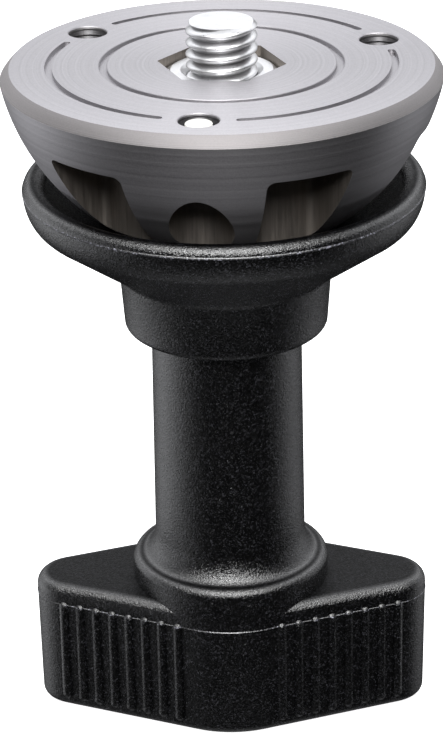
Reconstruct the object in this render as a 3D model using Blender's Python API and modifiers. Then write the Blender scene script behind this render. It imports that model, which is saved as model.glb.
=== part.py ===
"""Half ball adapter for a 60 mm tripod bowl.

A turned aluminium half ball carries a 3/8 inch stud. A moulded cup below it is drawn up against the bowl
by a long wing knob, whose brass insert runs on the stud's lower thread. Metres, +Z up. The part stands on
the flat base of its knob, whose centre is the origin, and its front faces -Y.
"""
import bpy
import bmesh
from math import acos, asin, atan2, ceil, cos, pi, radians, sin, sqrt, tan
from mathutils import Matrix, Vector

MM = 0.001

# Clearances
GAP = 0.3 * MM               # between pieces that touch or turn on each other
SOCKET_PLAY = 0.5 * MM       # round the stop washer in the handle's bore
MERGE = 0.002 * MM

# Half ball
BALL_DIAMETER = 60.0 * MM
BALL_DEPTH = 21.0 * MM       # flat top down to the flat underside
BALL_CENTRE_RISE = 4.6 * MM  # centre of the sphere above the flat top
BALL_CLOCK = radians(-6.0)
RIM_DROP = 1.5 * MM          # swelled bevel between the flat top and the sphere
RIM_INSET = 1.3 * MM
RIM_SWELL = 0.09 * MM
GROOVE_WIDTH = 1.0 * MM
GROOVE_DEPTH = 0.6 * MM
INNER_GROOVE_RADIUS = 15.7 * MM
SCREW_INSET = 6.47 * MM      # set screws' axes, inwards from the rim
SCREW_ANGLES = {"front": radians(270), "right": radians(30), "left": radians(150)}
GROOVE_STOP = 5.2 * MM       # the outer groove ends this far from a set screw's axis
POCKET_ROOF_DROP = 6.95 * MM
POCKET_INSET = 3.9 * MM      # back wall of a lightening pocket, inwards from the set screws' circle
POCKET_NEAR_ANGLE = radians(19.8)   # sides of a lightening pocket, from the nearest set screw
POCKET_FAR_ANGLE = radians(45.0)
POCKET_CLOCK = radians(-0.9)        # the cast pockets sit a little off the drilled holes
POCKET_FILLET = 0.9 * MM
KEY_POCKET_RADIUS = 4.05 * MM
KEY_POCKET_INSET = 0.7 * MM
LOWER_NUT_RECESS = 0.5 * MM

# Stud, 3/8 inch with 16 threads to the inch
STUD_DIAMETER = 9.5 * MM
STUD_CORE_DIAMETER = 7.8 * MM
THREAD_PITCH = 25.4 / 16 * MM
STUD_RISE = 5.7 * MM
STUD_CHAMFER = 0.5 * MM
STUD_THREAD_BELOW = 1.6 * MM  # the helical thread starts this far below the nut's top

# Nuts, 9/16 inch across flats
NUT_ACROSS_FLATS = 14.29 * MM
NUT_THICKNESS = 5.5 * MM
NUT_CHAMFER = 0.7 * MM
NUT_RECESS = 0.9 * MM
WASHER_THICKNESS = 1.8 * MM
WASHER_SPLIT = 1.2 * MM
WASHER_RIM = 6.9 * MM

# Set screws, M5 with an 0.8 mm pitch
SET_SCREW_DIAMETER = 4.7 * MM
SET_SCREW_LENGTH = 7.0 * MM
SET_SCREW_PITCH = 0.8 * MM
SOCKET_ACROSS_FLATS = 2.5 * MM
SOCKET_DEPTH = 2.6 * MM
TIP_RADIUS = 1.8 * MM
TIP_HEIGHT = 1.1 * MM
TIP_SHANK_RADIUS = 0.9 * MM
TIP_SHANK_LENGTH = 1.7 * MM
TIP_SINK = {"front": 0.35 * MM, "right": 1.5 * MM, "left": 1.5 * MM}

# Clamp cup
SEAT_PLAY = 2.3 * MM         # the seat is a sphere about the ball's centre, this much larger
CUP_RIM_DROP = 17.0 * MM     # parting line, below the flat top
CUP_RIM_WALL = 3.04 * MM
CUP_BEAD = 1.35 * MM
CUP_WALL_TUCK = 1.55 * MM    # the wall curves in under the rim by this much
CUP_WALL_HEIGHT = 4.2 * MM
CONE_FOOT = 2.7 * MM         # the cone meets the collar this far below the thrust shoulder
COLLAR_WALL = 2.7 * MM
COLLAR_TAPER = 0.5 * MM
COLLAR_SKIRT = 3.35 * MM     # collar below the retaining ring's groove
COLLAR_EDGE = 1.0 * MM
CUP_FLOOR = 5.2 * MM         # floor of the seat down to the thrust shoulder
CUP_FLOOR_HOLE = 6.2 * MM

# Thrust washers and retaining ring
THRUST_WASHER_THICKNESS = 1.0 * MM
BEARING_WASHER_THICKNESS = 1.2 * MM
RING_THICKNESS = 1.2 * MM
RING_GROOVE = 0.9 * MM

# Handle
WING_HEIGHT = 19.4 * MM
PARTING_HEIGHT = 16.6 * MM
WING_BEVEL = 1.5 * MM
BASE_EDGE = 1.2 * MM
HUB_RADIUS = 13.6 * MM
HUB_LIP = 0.14 * MM          # upper mould half stands proud of the lower one
HUB_RISE = 3.6 * MM          # rim of the hub above the wings
HUB_EDGE = 1.2 * MM
WING_TIP_RADIUS = 5.5 * MM
WING_REACH = 22.1 * MM       # centre of a wing's round end
FACE_DRAFT = 0.014
TUBE_BASE_RADIUS = 10.52 * MM
TUBE_TOP_RADIUS = 10.25 * MM
FOOT_RISE = 3.95 * MM
FLANGE_STEP = 1.15 * MM
FLANGE_THICKNESS = 2.5 * MM
HANDLE_HEIGHT = 65.3 * MM    # base to the flange's top face
RIB_COUNT = 8
RIB_PITCH = 2.5 * MM
RIB_FIRST = 2.5 * MM        # first rib from the foot of the axis on the face
RIB_RADIUS = 0.75 * MM
RIB_PROUD = 0.45 * MM
RIB_BOTTOM = 1.4 * MM
RIB_OVERRUN = 0.5 * MM       # ribs run this far past the parting line
CORE_WALL = 2.6 * MM         # wings are cored out from below
CORE_WEB = 1.8 * MM
CORE_DEPTH = 12.0 * MM
CORE_END_WIDTH = 2.2 * MM
CORE_BOSS_RADIUS = 11.6 * MM

# Insert, stop and end cap
INSERT_RADIUS = 7.4 * MM
INSERT_LENGTH = 18.0 * MM
CLAMP_TRAVEL = 12.0 * MM
STOP_WASHER_THICKNESS = 1.5 * MM
STOP_HEAD_RADIUS = 4.4 * MM
STOP_HEAD_HEIGHT = 2.4 * MM
STOP_SHANK_RADIUS = 2.1 * MM
STOP_SHANK_LENGTH = 8.0 * MM
STOP_SOCKET_ACROSS_FLATS = 3.0 * MM
STOP_SOCKET_DEPTH = 1.5 * MM
CAP_RADIUS = 8.9 * MM
CAP_THICKNESS = 1.5 * MM
CAP_PLUG_LENGTH = 5.0 * MM
CAP_PLUG_WALL = 1.4 * MM

# Fineness of turned shapes
FINE_STEPS = 48
MEDIUM_STEPS = 32
SMALL_STEPS = 16
RIB_STEPS = 8

# Heights, worked out from the base of the knob upwards
HUB_TOP = WING_HEIGHT + HUB_RISE
THRUST_WASHER_BOTTOM = HANDLE_HEIGHT + GAP
BEARING_WASHER_BOTTOM = THRUST_WASHER_BOTTOM + THRUST_WASHER_THICKNESS + GAP
SHOULDER = BEARING_WASHER_BOTTOM + BEARING_WASHER_THICKNESS + GAP
SEAT_FLOOR = SHOULDER + CUP_FLOOR
BALL_BOTTOM = SEAT_FLOOR + GAP
PLATE = BALL_BOTTOM + BALL_DEPTH
BALL_CENTRE = PLATE + BALL_CENTRE_RISE
TOP_NUT_TOP = PLATE - NUT_RECESS
TOP_NUT_BOTTOM = TOP_NUT_TOP - NUT_THICKNESS
WEB_TOP = TOP_NUT_BOTTOM - GAP
LOWER_NUT_BOTTOM = BALL_BOTTOM + LOWER_NUT_RECESS
LOWER_NUT_TOP = LOWER_NUT_BOTTOM + NUT_THICKNESS
WASHER_TOP = LOWER_NUT_TOP + GAP + WASHER_THICKNESS
WEB_BOTTOM = WASHER_TOP + GAP
STUD_TOP = PLATE + STUD_RISE
INSERT_BOTTOM = HANDLE_HEIGHT - INSERT_LENGTH
STOP_WASHER_TOP = INSERT_BOTTOM - CLAMP_TRAVEL - GAP
STUD_BOTTOM = STOP_WASHER_TOP + GAP
CUP_PARTING = PLATE - CUP_RIM_DROP
CUP_WALL_BOTTOM = CUP_PARTING - CUP_WALL_HEIGHT
COLLAR_TOP = SHOULDER - CONE_FOOT
RING_TOP = HANDLE_HEIGHT - FLANGE_THICKNESS - GAP
RING_SPACE_TOP = RING_TOP + GAP
RING_SPACE_BOTTOM = RING_TOP - RING_THICKNESS - GAP
COLLAR_BOTTOM = RING_SPACE_BOTTOM - COLLAR_SKIRT

# Radii that follow from the fits
STUD_RADIUS = STUD_DIAMETER / 2
STUD_BORE = STUD_RADIUS + GAP
BALL_RADIUS = BALL_DIAMETER / 2
RIM_RADIUS = sqrt(BALL_RADIUS ** 2 - (BALL_CENTRE_RISE + RIM_DROP) ** 2)
SCREW_CIRCLE_RADIUS = RIM_RADIUS - SCREW_INSET
KEY_POCKET_CIRCLE_RADIUS = SCREW_CIRCLE_RADIUS - KEY_POCKET_INSET
POCKET_BOSS_RADIUS = SCREW_CIRCLE_RADIUS - POCKET_INSET
SET_SCREW_HOLE = SET_SCREW_DIAMETER / 2 + GAP
NUT_POCKET_ACROSS_FLATS = NUT_ACROSS_FLATS + 2 * GAP
FLANGE_RADIUS = TUBE_TOP_RADIUS + FLANGE_STEP
SEAT_RADIUS = BALL_RADIUS + SEAT_PLAY
SEAT_MOUTH = sqrt(SEAT_RADIUS ** 2 - (BALL_CENTRE - CUP_PARTING) ** 2)
CUP_RIM_RADIUS = SEAT_MOUTH + CUP_RIM_WALL
COLLAR_BORE = FLANGE_RADIUS + GAP
COLLAR_TOP_RADIUS = COLLAR_BORE + COLLAR_WALL
INSERT_BORE = INSERT_RADIUS + GAP
STOP_WASHER_RADIUS = INSERT_BORE - SOCKET_PLAY
WING_ANGLE = asin((HUB_RADIUS - WING_TIP_RADIUS) / WING_REACH)

PARTS = "half_ball_adapter"
CUTTERS = "cutters"


def start_clean():
    """Empties the scene and makes one collection for the parts and one for the cutters."""
    for old in list(bpy.data.objects):
        bpy.data.objects.remove(old, do_unlink=True)
    for name in (PARTS, CUTTERS):
        collection = bpy.data.collections.new(name)
        bpy.context.scene.collection.children.link(collection)


def finish(name, colour, roughness, metallic=0.0):
    """A plain material in the piece's own colour."""
    material = bpy.data.materials.new(name)
    material.use_nodes = True
    shader = material.node_tree.nodes["Principled BSDF"]
    shader.inputs["Base Color"].default_value = (*colour, 1.0)
    shader.inputs["Roughness"].default_value = roughness
    shader.inputs["Metallic"].default_value = metallic
    return material


def add_object(name, data, material=None, parent=None):
    """Links data as a part if it has a material, and as a hidden cutter if it has none."""
    piece = bpy.data.objects.new(name, data)
    bpy.data.collections[PARTS if material else CUTTERS].objects.link(piece)
    if material:
        data.materials.append(material)
    else:
        piece.hide_render = True
        piece.display_type = "WIRE"
    piece.parent = parent
    return piece


def arc(centre, radii, start, end, count):
    """Points (radius, height) on an ellipse about centre, from the start angle to the end angle."""
    points = []
    for step in range(count + 1):
        angle = start + (end - start) * step / count
        points.append((centre[0] + radii[0] * cos(angle), centre[1] + radii[1] * sin(angle)))
    return points


def turned(name, outline, material=None, parent=None, steps=MEDIUM_STEPS, bored=True):
    """Turns an outline about Z. A bored piece's outline closes on itself, a solid one's starts and ends on Z."""
    mesh = bpy.data.meshes.new(name)
    count = len(outline)
    edges = [(index, index + 1) for index in range(count - 1)]
    if bored:
        edges.append((count - 1, 0))
    mesh.from_pydata([(radius, 0.0, height) for radius, height in outline], edges, [])
    piece = add_object(name, mesh, material, parent)
    screw = piece.modifiers.new("turn", "SCREW")
    screw.axis = "Z"
    screw.angle = 2 * pi
    screw.steps = steps
    screw.render_steps = steps
    screw.use_merge_vertices = True
    screw.merge_threshold = MERGE
    return piece


def ring_outline(inner, outer, bottom, top, edge=0.0):
    """Outline of a plain ring, with its outer edges broken by edge."""
    if not edge:
        return [(outer, top), (outer, bottom), (inner, bottom), (inner, top)]
    return [(outer - edge, top), (outer, top - edge), (outer, bottom + edge), (outer - edge, bottom),
            (inner, bottom), (inner, top)]


def hexagon(name, across_flats, bottom, top, material=None, parent=None):
    """A hexagonal prism on Z with corners on +X and -X."""
    mesh = bpy.data.meshes.new(name)
    cage = bmesh.new()
    radius = across_flats / 2 / cos(pi / 6)
    bmesh.ops.create_cone(cage, cap_ends=True, segments=6, radius1=radius, radius2=radius, depth=top - bottom)
    bmesh.ops.rotate(cage, verts=cage.verts, matrix=Matrix.Rotation(corner_turn(cage), 3, "Z"))
    bmesh.ops.translate(cage, verts=cage.verts, vec=(0, 0, (top + bottom) / 2))
    cage.to_mesh(mesh)
    cage.free()
    return add_object(name, mesh, material, parent)


def corner_turn(cage):
    """Angle that brings the cage's first corner onto +X."""
    corner = max(cage.verts, key=lambda vert: (round(vert.co.x, 6), -abs(vert.co.y)))
    return -atan2(corner.co.y, corner.co.x)


def prism(name, outline, bottom, top, parent=None, fillet=0.0):
    """A cutter with a flat outline in plan, whose upper and upright edges are rounded by fillet."""
    curve = bpy.data.curves.new(name, "CURVE")
    curve.dimensions = "2D"
    curve.fill_mode = "BOTH"
    curve.extrude = (top - bottom) / 2
    spline = curve.splines.new("POLY")
    spline.points.add(len(outline) - 1)
    for point, (x, y) in zip(spline.points, outline):
        point.co = (x, y, 0, 1)
    spline.use_cyclic_u = True
    guide = bpy.data.objects.new(name + "_outline", curve)
    bpy.data.collections[CUTTERS].objects.link(guide)
    bpy.context.view_layer.update()
    mesh = bpy.data.meshes.new_from_object(guide.evaluated_get(bpy.context.evaluated_depsgraph_get()))
    bpy.data.objects.remove(guide)
    cage = bmesh.new()
    cage.from_mesh(mesh)
    bmesh.ops.remove_doubles(cage, verts=cage.verts, dist=MERGE)
    bmesh.ops.translate(cage, verts=cage.verts, vec=(0, 0, (top + bottom) / 2))
    bmesh.ops.dissolve_limit(cage, angle_limit=radians(1), verts=cage.verts, edges=cage.edges)
    bmesh.ops.recalc_face_normals(cage, faces=cage.faces)
    if fillet:
        sharp = [edge for edge in cage.edges if edge.calc_face_angle(0) > radians(40)]
        above = [edge for edge in sharp if max(vert.co.z for vert in edge.verts) > top - MERGE]
        bmesh.ops.bevel(cage, geom=above, offset=fillet, segments=2, profile=0.5, affect="EDGES")
    cage.to_mesh(mesh)
    cage.free()
    return add_object(name, mesh, None, parent)


def combine(piece, tool, operation="DIFFERENCE"):
    """Cuts, joins or trims piece with tool."""
    step = piece.modifiers.new(tool.name, "BOOLEAN")
    step.object = tool
    step.operation = operation
    step.solver = "EXACT"


def settle(piece):
    """Applies a piece's modifiers and shades its round faces smooth."""
    bpy.context.view_layer.update()
    evaluated = piece.evaluated_get(bpy.context.evaluated_depsgraph_get())
    mesh = bpy.data.meshes.new_from_object(evaluated)
    cage = bmesh.new()
    cage.from_mesh(mesh)
    bmesh.ops.dissolve_degenerate(cage, edges=cage.edges, dist=MERGE)
    bmesh.ops.remove_doubles(cage, verts=cage.verts, dist=MERGE)
    cage.to_mesh(mesh)
    cage.free()
    piece.modifiers.clear()
    piece.data = mesh
    mesh.shade_smooth()
    mesh.set_sharp_from_angle(angle=radians(30))


def sphere_arc(sphere_radius, start_height, end_height, count):
    """Points down the lower half of a sphere about the ball's centre."""
    start = asin((start_height - BALL_CENTRE) / sphere_radius)
    end = asin((end_height - BALL_CENTRE) / sphere_radius)
    return arc((0, BALL_CENTRE), (sphere_radius, sphere_radius), start, end, count)


def around(radius, angle):
    return radius * cos(angle), radius * sin(angle)


def make_half_ball(metal, parent):
    """Turned ball with its nut pockets, grooves, tapped holes and the pockets under it."""
    flat_radius = RIM_RADIUS - RIM_INSET
    half_groove = GROOVE_WIDTH / 2
    washer_hole = WASHER_RIM + GAP
    outline = [
        (INNER_GROOVE_RADIUS - half_groove, PLATE),
        (INNER_GROOVE_RADIUS - half_groove, PLATE - GROOVE_DEPTH),
        (INNER_GROOVE_RADIUS + half_groove, PLATE - GROOVE_DEPTH),
        (INNER_GROOVE_RADIUS + half_groove, PLATE),
    ]
    bevel = (flat_radius + RIM_INSET / 2 + RIM_SWELL, PLATE - RIM_DROP / 2 + RIM_SWELL)
    outline += [(flat_radius, PLATE), bevel, (RIM_RADIUS, PLATE - RIM_DROP)]
    outline += sphere_arc(BALL_RADIUS, PLATE - RIM_DROP, BALL_BOTTOM, 9)[1:]
    outline += [
        (STUD_BORE, BALL_BOTTOM),
        (STUD_BORE, PLATE),
    ]
    ball = turned("half_ball", outline, metal, parent, FINE_STEPS)
    below = BALL_BOTTOM - GAP
    combine(ball, hexagon("top_pocket", NUT_POCKET_ACROSS_FLATS, WEB_TOP, PLATE + GAP, parent=parent))
    combine(ball, hexagon("lower_pocket", NUT_POCKET_ACROSS_FLATS, below, WASHER_TOP - WASHER_THICKNESS,
                          parent=parent))
    washer_floor = WASHER_TOP - WASHER_THICKNESS - GAP
    washer_pocket = [(0, WEB_BOTTOM), (washer_hole, WEB_BOTTOM), (washer_hole, washer_floor), (0, washer_floor)]
    combine(ball, turned("washer_pocket", washer_pocket, None, parent, bored=False))
    for place, angle in SCREW_ANGLES.items():
        cut_screw_station(ball, place, angle, parent)
    settle(ball)
    return ball


def cut_screw_station(ball, place, angle, parent):
    """The tapped hole, key pocket, groove arc and two lightening pockets that go with one set screw."""
    x, y = around(SCREW_CIRCLE_RADIUS, angle)
    roof = PLATE - POCKET_ROOF_DROP
    lip = SET_SCREW_HOLE + GAP
    hole = [(0, PLATE + GAP), (lip + GAP, PLATE + GAP), (SET_SCREW_HOLE, PLATE - GAP), (SET_SCREW_HOLE, roof - GAP),
            (0, roof - GAP)]
    tap = turned("tap_" + place, hole, None, parent, SMALL_STEPS, bored=False)
    tap.location = (x, y, 0)
    combine(ball, tap)
    x, y = around(KEY_POCKET_CIRCLE_RADIUS, angle)
    shaft = [(0, roof), (KEY_POCKET_RADIUS - POCKET_FILLET, roof), (KEY_POCKET_RADIUS, roof - POCKET_FILLET),
             (KEY_POCKET_RADIUS, BALL_BOTTOM - GAP), (0, BALL_BOTTOM - GAP)]
    key = turned("key_" + place, shaft, None, parent, SMALL_STEPS, bored=False)
    key.location = (x, y, 0)
    combine(ball, key)
    stop = 2 * asin(GROOVE_STOP / 2 / SCREW_CIRCLE_RADIUS)
    start, end = angle + stop, angle + 2 * pi / len(SCREW_ANGLES) - stop
    combine(ball, prism("groove_" + place, band(SCREW_CIRCLE_RADIUS, GROOVE_WIDTH, start, end),
                        PLATE - GROOVE_DEPTH, PLATE + GAP, parent))
    for side, sign in (("a", -1), ("b", 1)):
        near = angle + POCKET_CLOCK + sign * POCKET_NEAR_ANGLE
        far = angle + POCKET_CLOCK + sign * POCKET_FAR_ANGLE
        outline = [around(BALL_RADIUS + GAP, near + (far - near) * step / 4) for step in range(5)]
        outline += [around(POCKET_BOSS_RADIUS, far + (near - far) * step / 4) for step in range(5)]
        combine(ball, prism(f"pocket_{place}_{side}", outline, BALL_BOTTOM - GAP, roof, parent, POCKET_FILLET))


def band(radius, width, start, end, count=9):
    """Outline of a curved slot with round ends."""
    outline = [around(radius + width / 2, start + (end - start) * step / count) for step in range(count + 1)]
    for step in range(1, 3):
        x, y = around(radius, end)
        turn = end + pi * step / 3
        outline.append((x + width / 2 * cos(turn), y + width / 2 * sin(turn)))
    outline += [around(radius - width / 2, end + (start - end) * step / count) for step in range(count + 1)]
    for step in range(1, 3):
        x, y = around(radius, start)
        turn = start + pi + pi * step / 3
        outline.append((x + width / 2 * cos(turn), y + width / 2 * sin(turn)))
    return outline


def thread_ridge(name, bottom, top, steps):
    """The helical ridge of the stud's thread as one closed cutter, to be joined to the core."""
    cage = bmesh.new()
    root = STUD_CORE_DIAMETER / 2 - GAP / 2
    crest = STUD_RADIUS - GAP / 8
    section = [(root, -0.47), (crest, -0.06), (crest, 0.06), (root, 0.47)]
    turns = ceil((top - bottom) / THREAD_PITCH * steps)
    rings = []
    for index in range(turns + 1):
        angle = 2 * pi * index / steps
        height = bottom + THREAD_PITCH * index / steps
        rings.append([cage.verts.new((r * cos(angle), r * sin(angle), height + share * THREAD_PITCH))
                      for r, share in section])
    for lower, upper in zip(rings, rings[1:]):
        for index in range(len(section)):
            after = (index + 1) % len(section)
            cage.faces.new((lower[index], upper[index], upper[after], lower[after]))
    cage.faces.new(reversed(rings[0]))
    cage.faces.new(rings[-1])
    bmesh.ops.recalc_face_normals(cage, faces=cage.faces)
    mesh = bpy.data.meshes.new(name)
    cage.to_mesh(mesh)
    cage.free()
    return add_object(name, mesh)


def make_stud(steel):
    """Threaded rod: a helical thread where it shows, a plain rod of the same size inside the part."""
    thread_bottom = TOP_NUT_TOP - STUD_THREAD_BELOW
    core = STUD_CORE_DIAMETER / 2
    tap_top = STUD_BOTTOM + STOP_SHANK_LENGTH + 2 * GAP
    tap = STOP_SHANK_RADIUS + GAP
    outline = [
        (0, STUD_TOP + GAP), (core, STUD_TOP + GAP), (core, thread_bottom), (STUD_RADIUS, thread_bottom - GAP),
        (STUD_RADIUS, STUD_BOTTOM + STUD_CHAMFER), (STUD_RADIUS - STUD_CHAMFER, STUD_BOTTOM),
        (tap, STUD_BOTTOM), (tap, tap_top), (0, tap_top),
    ]
    stud = turned("clamp_stud", outline, steel, steps=SMALL_STEPS, bored=False)
    combine(stud, thread_ridge("thread", thread_bottom - THREAD_PITCH / 4, STUD_TOP + THREAD_PITCH, SMALL_STEPS),
            "UNION")
    envelope = [
        (0, STUD_TOP), (STUD_RADIUS - STUD_CHAMFER, STUD_TOP), (STUD_RADIUS + GAP, STUD_TOP - STUD_CHAMFER - GAP),
        (STUD_RADIUS + GAP, STUD_BOTTOM - GAP), (0, STUD_BOTTOM - GAP),
    ]
    combine(stud, turned("thread_envelope", envelope, steps=MEDIUM_STEPS, bored=False), "INTERSECT")
    settle(stud)


def make_nut(name, bottom, top, metal, parent):
    """Hexagon nut with turned chamfers on both faces and a countersunk bore."""
    nut = hexagon(name, NUT_ACROSS_FLATS, bottom, top, metal, parent)
    flat = NUT_ACROSS_FLATS / 2
    corner = flat / cos(pi / 6) + GAP
    drop = (corner - flat) * tan(radians(30)) + NUT_CHAMFER / 4
    envelope = [(0, top), (flat - NUT_CHAMFER / 2, top), (corner, top - drop), (corner, bottom + drop),
                (flat - NUT_CHAMFER / 2, bottom), (0, bottom)]
    combine(nut, turned(name + "_envelope", envelope, None, parent, bored=False), "INTERSECT")
    bore = [(0, top + GAP), (STUD_BORE + NUT_CHAMFER + GAP, top + GAP), (STUD_BORE, top - NUT_CHAMFER),
            (STUD_BORE, bottom + NUT_CHAMFER), (STUD_BORE + NUT_CHAMFER + GAP, bottom - GAP), (0, bottom - GAP)]
    combine(nut, turned(name + "_bore", bore, None, parent, SMALL_STEPS, bored=False))
    settle(nut)


def make_lock_washer(metal, parent):
    """Split spring washer above the lower nut."""
    washer = turned("lock_washer", ring_outline(STUD_BORE, WASHER_RIM, WASHER_TOP - WASHER_THICKNESS, WASHER_TOP),
                    metal, parent, SMALL_STEPS)
    slot = [(0, -WASHER_SPLIT / 2), (WASHER_RIM + GAP, -WASHER_SPLIT / 2), (WASHER_RIM + GAP, WASHER_SPLIT / 2),
            (0, WASHER_SPLIT / 2)]
    combine(washer, prism("washer_slot", slot, WASHER_TOP - WASHER_THICKNESS - GAP, WASHER_TOP + GAP, parent))
    settle(washer)


def make_set_screw(place, angle, steel, nylon, parent):
    """One set screw with a key socket in its lower end, and the nylon tip in its upper end."""
    tip_top = PLATE - TIP_SINK[place]
    screw_top = tip_top - TIP_HEIGHT - GAP
    radius = SET_SCREW_DIAMETER / 2
    edge = GAP
    seat = TIP_SHANK_RADIUS + GAP
    seat_bottom = -TIP_SHANK_LENGTH - GAP
    outline = [
        (0, seat_bottom), (seat, seat_bottom), (seat, 0),
        (radius - edge, 0), (radius, -edge), (radius, edge - SET_SCREW_LENGTH), (radius - edge, -SET_SCREW_LENGTH),
        (0, -SET_SCREW_LENGTH),
    ]
    x, y = around(SCREW_CIRCLE_RADIUS, angle)
    screw = turned("set_screw_" + place, outline, steel, parent, SMALL_STEPS, bored=False)
    screw.location = (x, y, screw_top)
    socket = hexagon("socket_" + place, SOCKET_ACROSS_FLATS, -SET_SCREW_LENGTH - GAP,
                     SOCKET_DEPTH - SET_SCREW_LENGTH, parent=screw)
    combine(screw, socket)
    settle(screw)
    tip_outline = [
        (0, 0), (TIP_RADIUS - edge, 0), (TIP_RADIUS, -edge), (TIP_RADIUS, -TIP_HEIGHT),
        (TIP_SHANK_RADIUS, -TIP_HEIGHT), (TIP_SHANK_RADIUS, -TIP_HEIGHT - TIP_SHANK_LENGTH),
        (0, -TIP_HEIGHT - TIP_SHANK_LENGTH),
    ]
    tip = turned("screw_tip_" + place, tip_outline, nylon, parent, SMALL_STEPS, bored=False)
    tip.location = (x, y, tip_top)
    settle(tip)


def make_cup(plastic):
    """Moulded cup: rounded rim, spherical seat, cone and collar, with a bore for the handle's flange."""
    bead_centre = (CUP_RIM_RADIUS - CUP_BEAD, CUP_PARTING)
    groove = COLLAR_BORE + RING_GROOVE + GAP
    sweep = 2 * CUP_WALL_TUCK
    outline = arc(bead_centre, (CUP_BEAD, CUP_BEAD), pi / 2, 0, 4)
    outline += arc((CUP_RIM_RADIUS - sweep, CUP_PARTING), (sweep, CUP_WALL_HEIGHT / sin(pi / 3)), 0, -pi / 3, 3)[1:]
    outline += [
        (COLLAR_TOP_RADIUS + GAP, COLLAR_TOP + GAP),
        (COLLAR_TOP_RADIUS, COLLAR_TOP - GAP),
    ]
    outline += arc((COLLAR_TOP_RADIUS - COLLAR_TAPER - COLLAR_EDGE, COLLAR_BOTTOM + COLLAR_EDGE),
                   (COLLAR_EDGE, COLLAR_EDGE), 0, -pi / 2, 2)
    outline += [
        (COLLAR_BORE, COLLAR_BOTTOM),
        (COLLAR_BORE, RING_SPACE_BOTTOM),
        (groove, RING_SPACE_BOTTOM),
        (groove, RING_SPACE_TOP),
        (COLLAR_BORE, RING_SPACE_TOP),
        (COLLAR_BORE, SHOULDER),
        (CUP_FLOOR_HOLE, SHOULDER),
        (CUP_FLOOR_HOLE, SEAT_FLOOR),
    ]
    outline += list(reversed(sphere_arc(SEAT_RADIUS, CUP_PARTING, SEAT_FLOOR, 3)))
    outline += arc(bead_centre, (bead_centre[0] - SEAT_MOUTH, CUP_BEAD), pi, pi / 2, 3)[1:-1]
    settle(turned("clamp_cup", outline, plastic, steps=FINE_STEPS))


def wing_outline(inset, count=6):
    """Plan of the knob, drawn in by inset: the hub's circle and two round ends with straight faces between."""
    outline = []
    for centre, radius, middle, half in (
            (WING_REACH, WING_TIP_RADIUS, 0.0, pi / 2 - WING_ANGLE),
            (0.0, HUB_RADIUS, pi / 2, WING_ANGLE),
            (-WING_REACH, WING_TIP_RADIUS, pi, pi / 2 - WING_ANGLE),
            (0.0, HUB_RADIUS, 3 * pi / 2, WING_ANGLE)):
        for step in range(count + 1):
            angle = middle - half + 2 * half * step / count
            outline.append((centre + (radius - inset) * cos(angle), (radius - inset) * sin(angle)))
    return outline


def wing_levels():
    """Height and inset of the knob's outline, from its rounded base up over the bevelled top."""
    levels = []
    for step in range(4):
        angle = pi / 2 * step / 3
        levels.append((BASE_EDGE * (1 - cos(angle)), BASE_EDGE * (1 - sin(angle))))
    levels = [(height, inset + FACE_DRAFT * (PARTING_HEIGHT - height)) for height, inset in levels]
    levels.append((PARTING_HEIGHT, 0.0))
    bevel_bottom = WING_HEIGHT - WING_BEVEL
    levels += [
        (bevel_bottom - GAP, 0.0),
        (bevel_bottom + GAP, GAP / 2),
        (WING_HEIGHT - GAP / 2, WING_BEVEL - GAP),
        (WING_HEIGHT, WING_BEVEL + GAP),
    ]
    return levels


def stacked(name, levels, outline_at, material=None):
    """A closed solid through outlines stacked in height."""
    cage = bmesh.new()
    rings = []
    for height, inset in levels:
        rings.append([cage.verts.new((x, y, height)) for x, y in outline_at(inset)])
    for lower, upper in zip(rings, rings[1:]):
        count = len(lower)
        for index in range(count):
            after = (index + 1) % count
            cage.faces.new((lower[index], lower[after], upper[after], upper[index]))
    cage.faces.new(reversed(rings[0]))
    cage.faces.new(rings[-1])
    bmesh.ops.recalc_face_normals(cage, faces=cage.faces)
    mesh = bpy.data.meshes.new(name)
    cage.to_mesh(mesh)
    cage.free()
    return add_object(name, mesh, material)


def face_point(along, out):
    """Plan position on the front right face: along it from the foot of the axis, and outwards from it."""
    normal = Vector((sin(WING_ANGLE), -cos(WING_ANGLE)))
    tangent = Vector((cos(WING_ANGLE), sin(WING_ANGLE)))
    return normal * (HUB_RADIUS + out) + tangent * along


def make_ribs():
    """Round-ended grip ribs on all four faces, as separate closed bodies in one tool."""
    rib_top = PARTING_HEIGHT + RIB_OVERRUN
    profile = arc((0, rib_top - RIB_RADIUS), (RIB_RADIUS, RIB_RADIUS), pi / 2, 0, 2)
    profile += arc((0, RIB_BOTTOM + RIB_RADIUS), (RIB_RADIUS, RIB_RADIUS), 0, -pi / 2, 2)
    rib = turned("rib", profile, steps=RIB_STEPS, bored=False)
    bpy.context.view_layer.update()
    shape = bpy.data.meshes.new_from_object(rib.evaluated_get(bpy.context.evaluated_depsgraph_get()))
    bpy.data.objects.remove(rib)
    cage = bmesh.new()
    for index in range(RIB_COUNT):
        spot = face_point(RIB_FIRST + index * RIB_PITCH, RIB_PROUD - RIB_RADIUS)
        for x_side, y_side in ((1, 1), (-1, 1), (1, -1), (-1, -1)):
            count = len(cage.verts)
            cage.from_mesh(shape)
            cage.verts.ensure_lookup_table()
            bmesh.ops.translate(cage, verts=cage.verts[count:], vec=(spot.x * x_side, spot.y * y_side, 0))
    mesh = bpy.data.meshes.new("grip_ribs")
    cage.to_mesh(mesh)
    cage.free()
    bpy.data.meshes.remove(shape)
    return add_object("grip_ribs", mesh)


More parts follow.
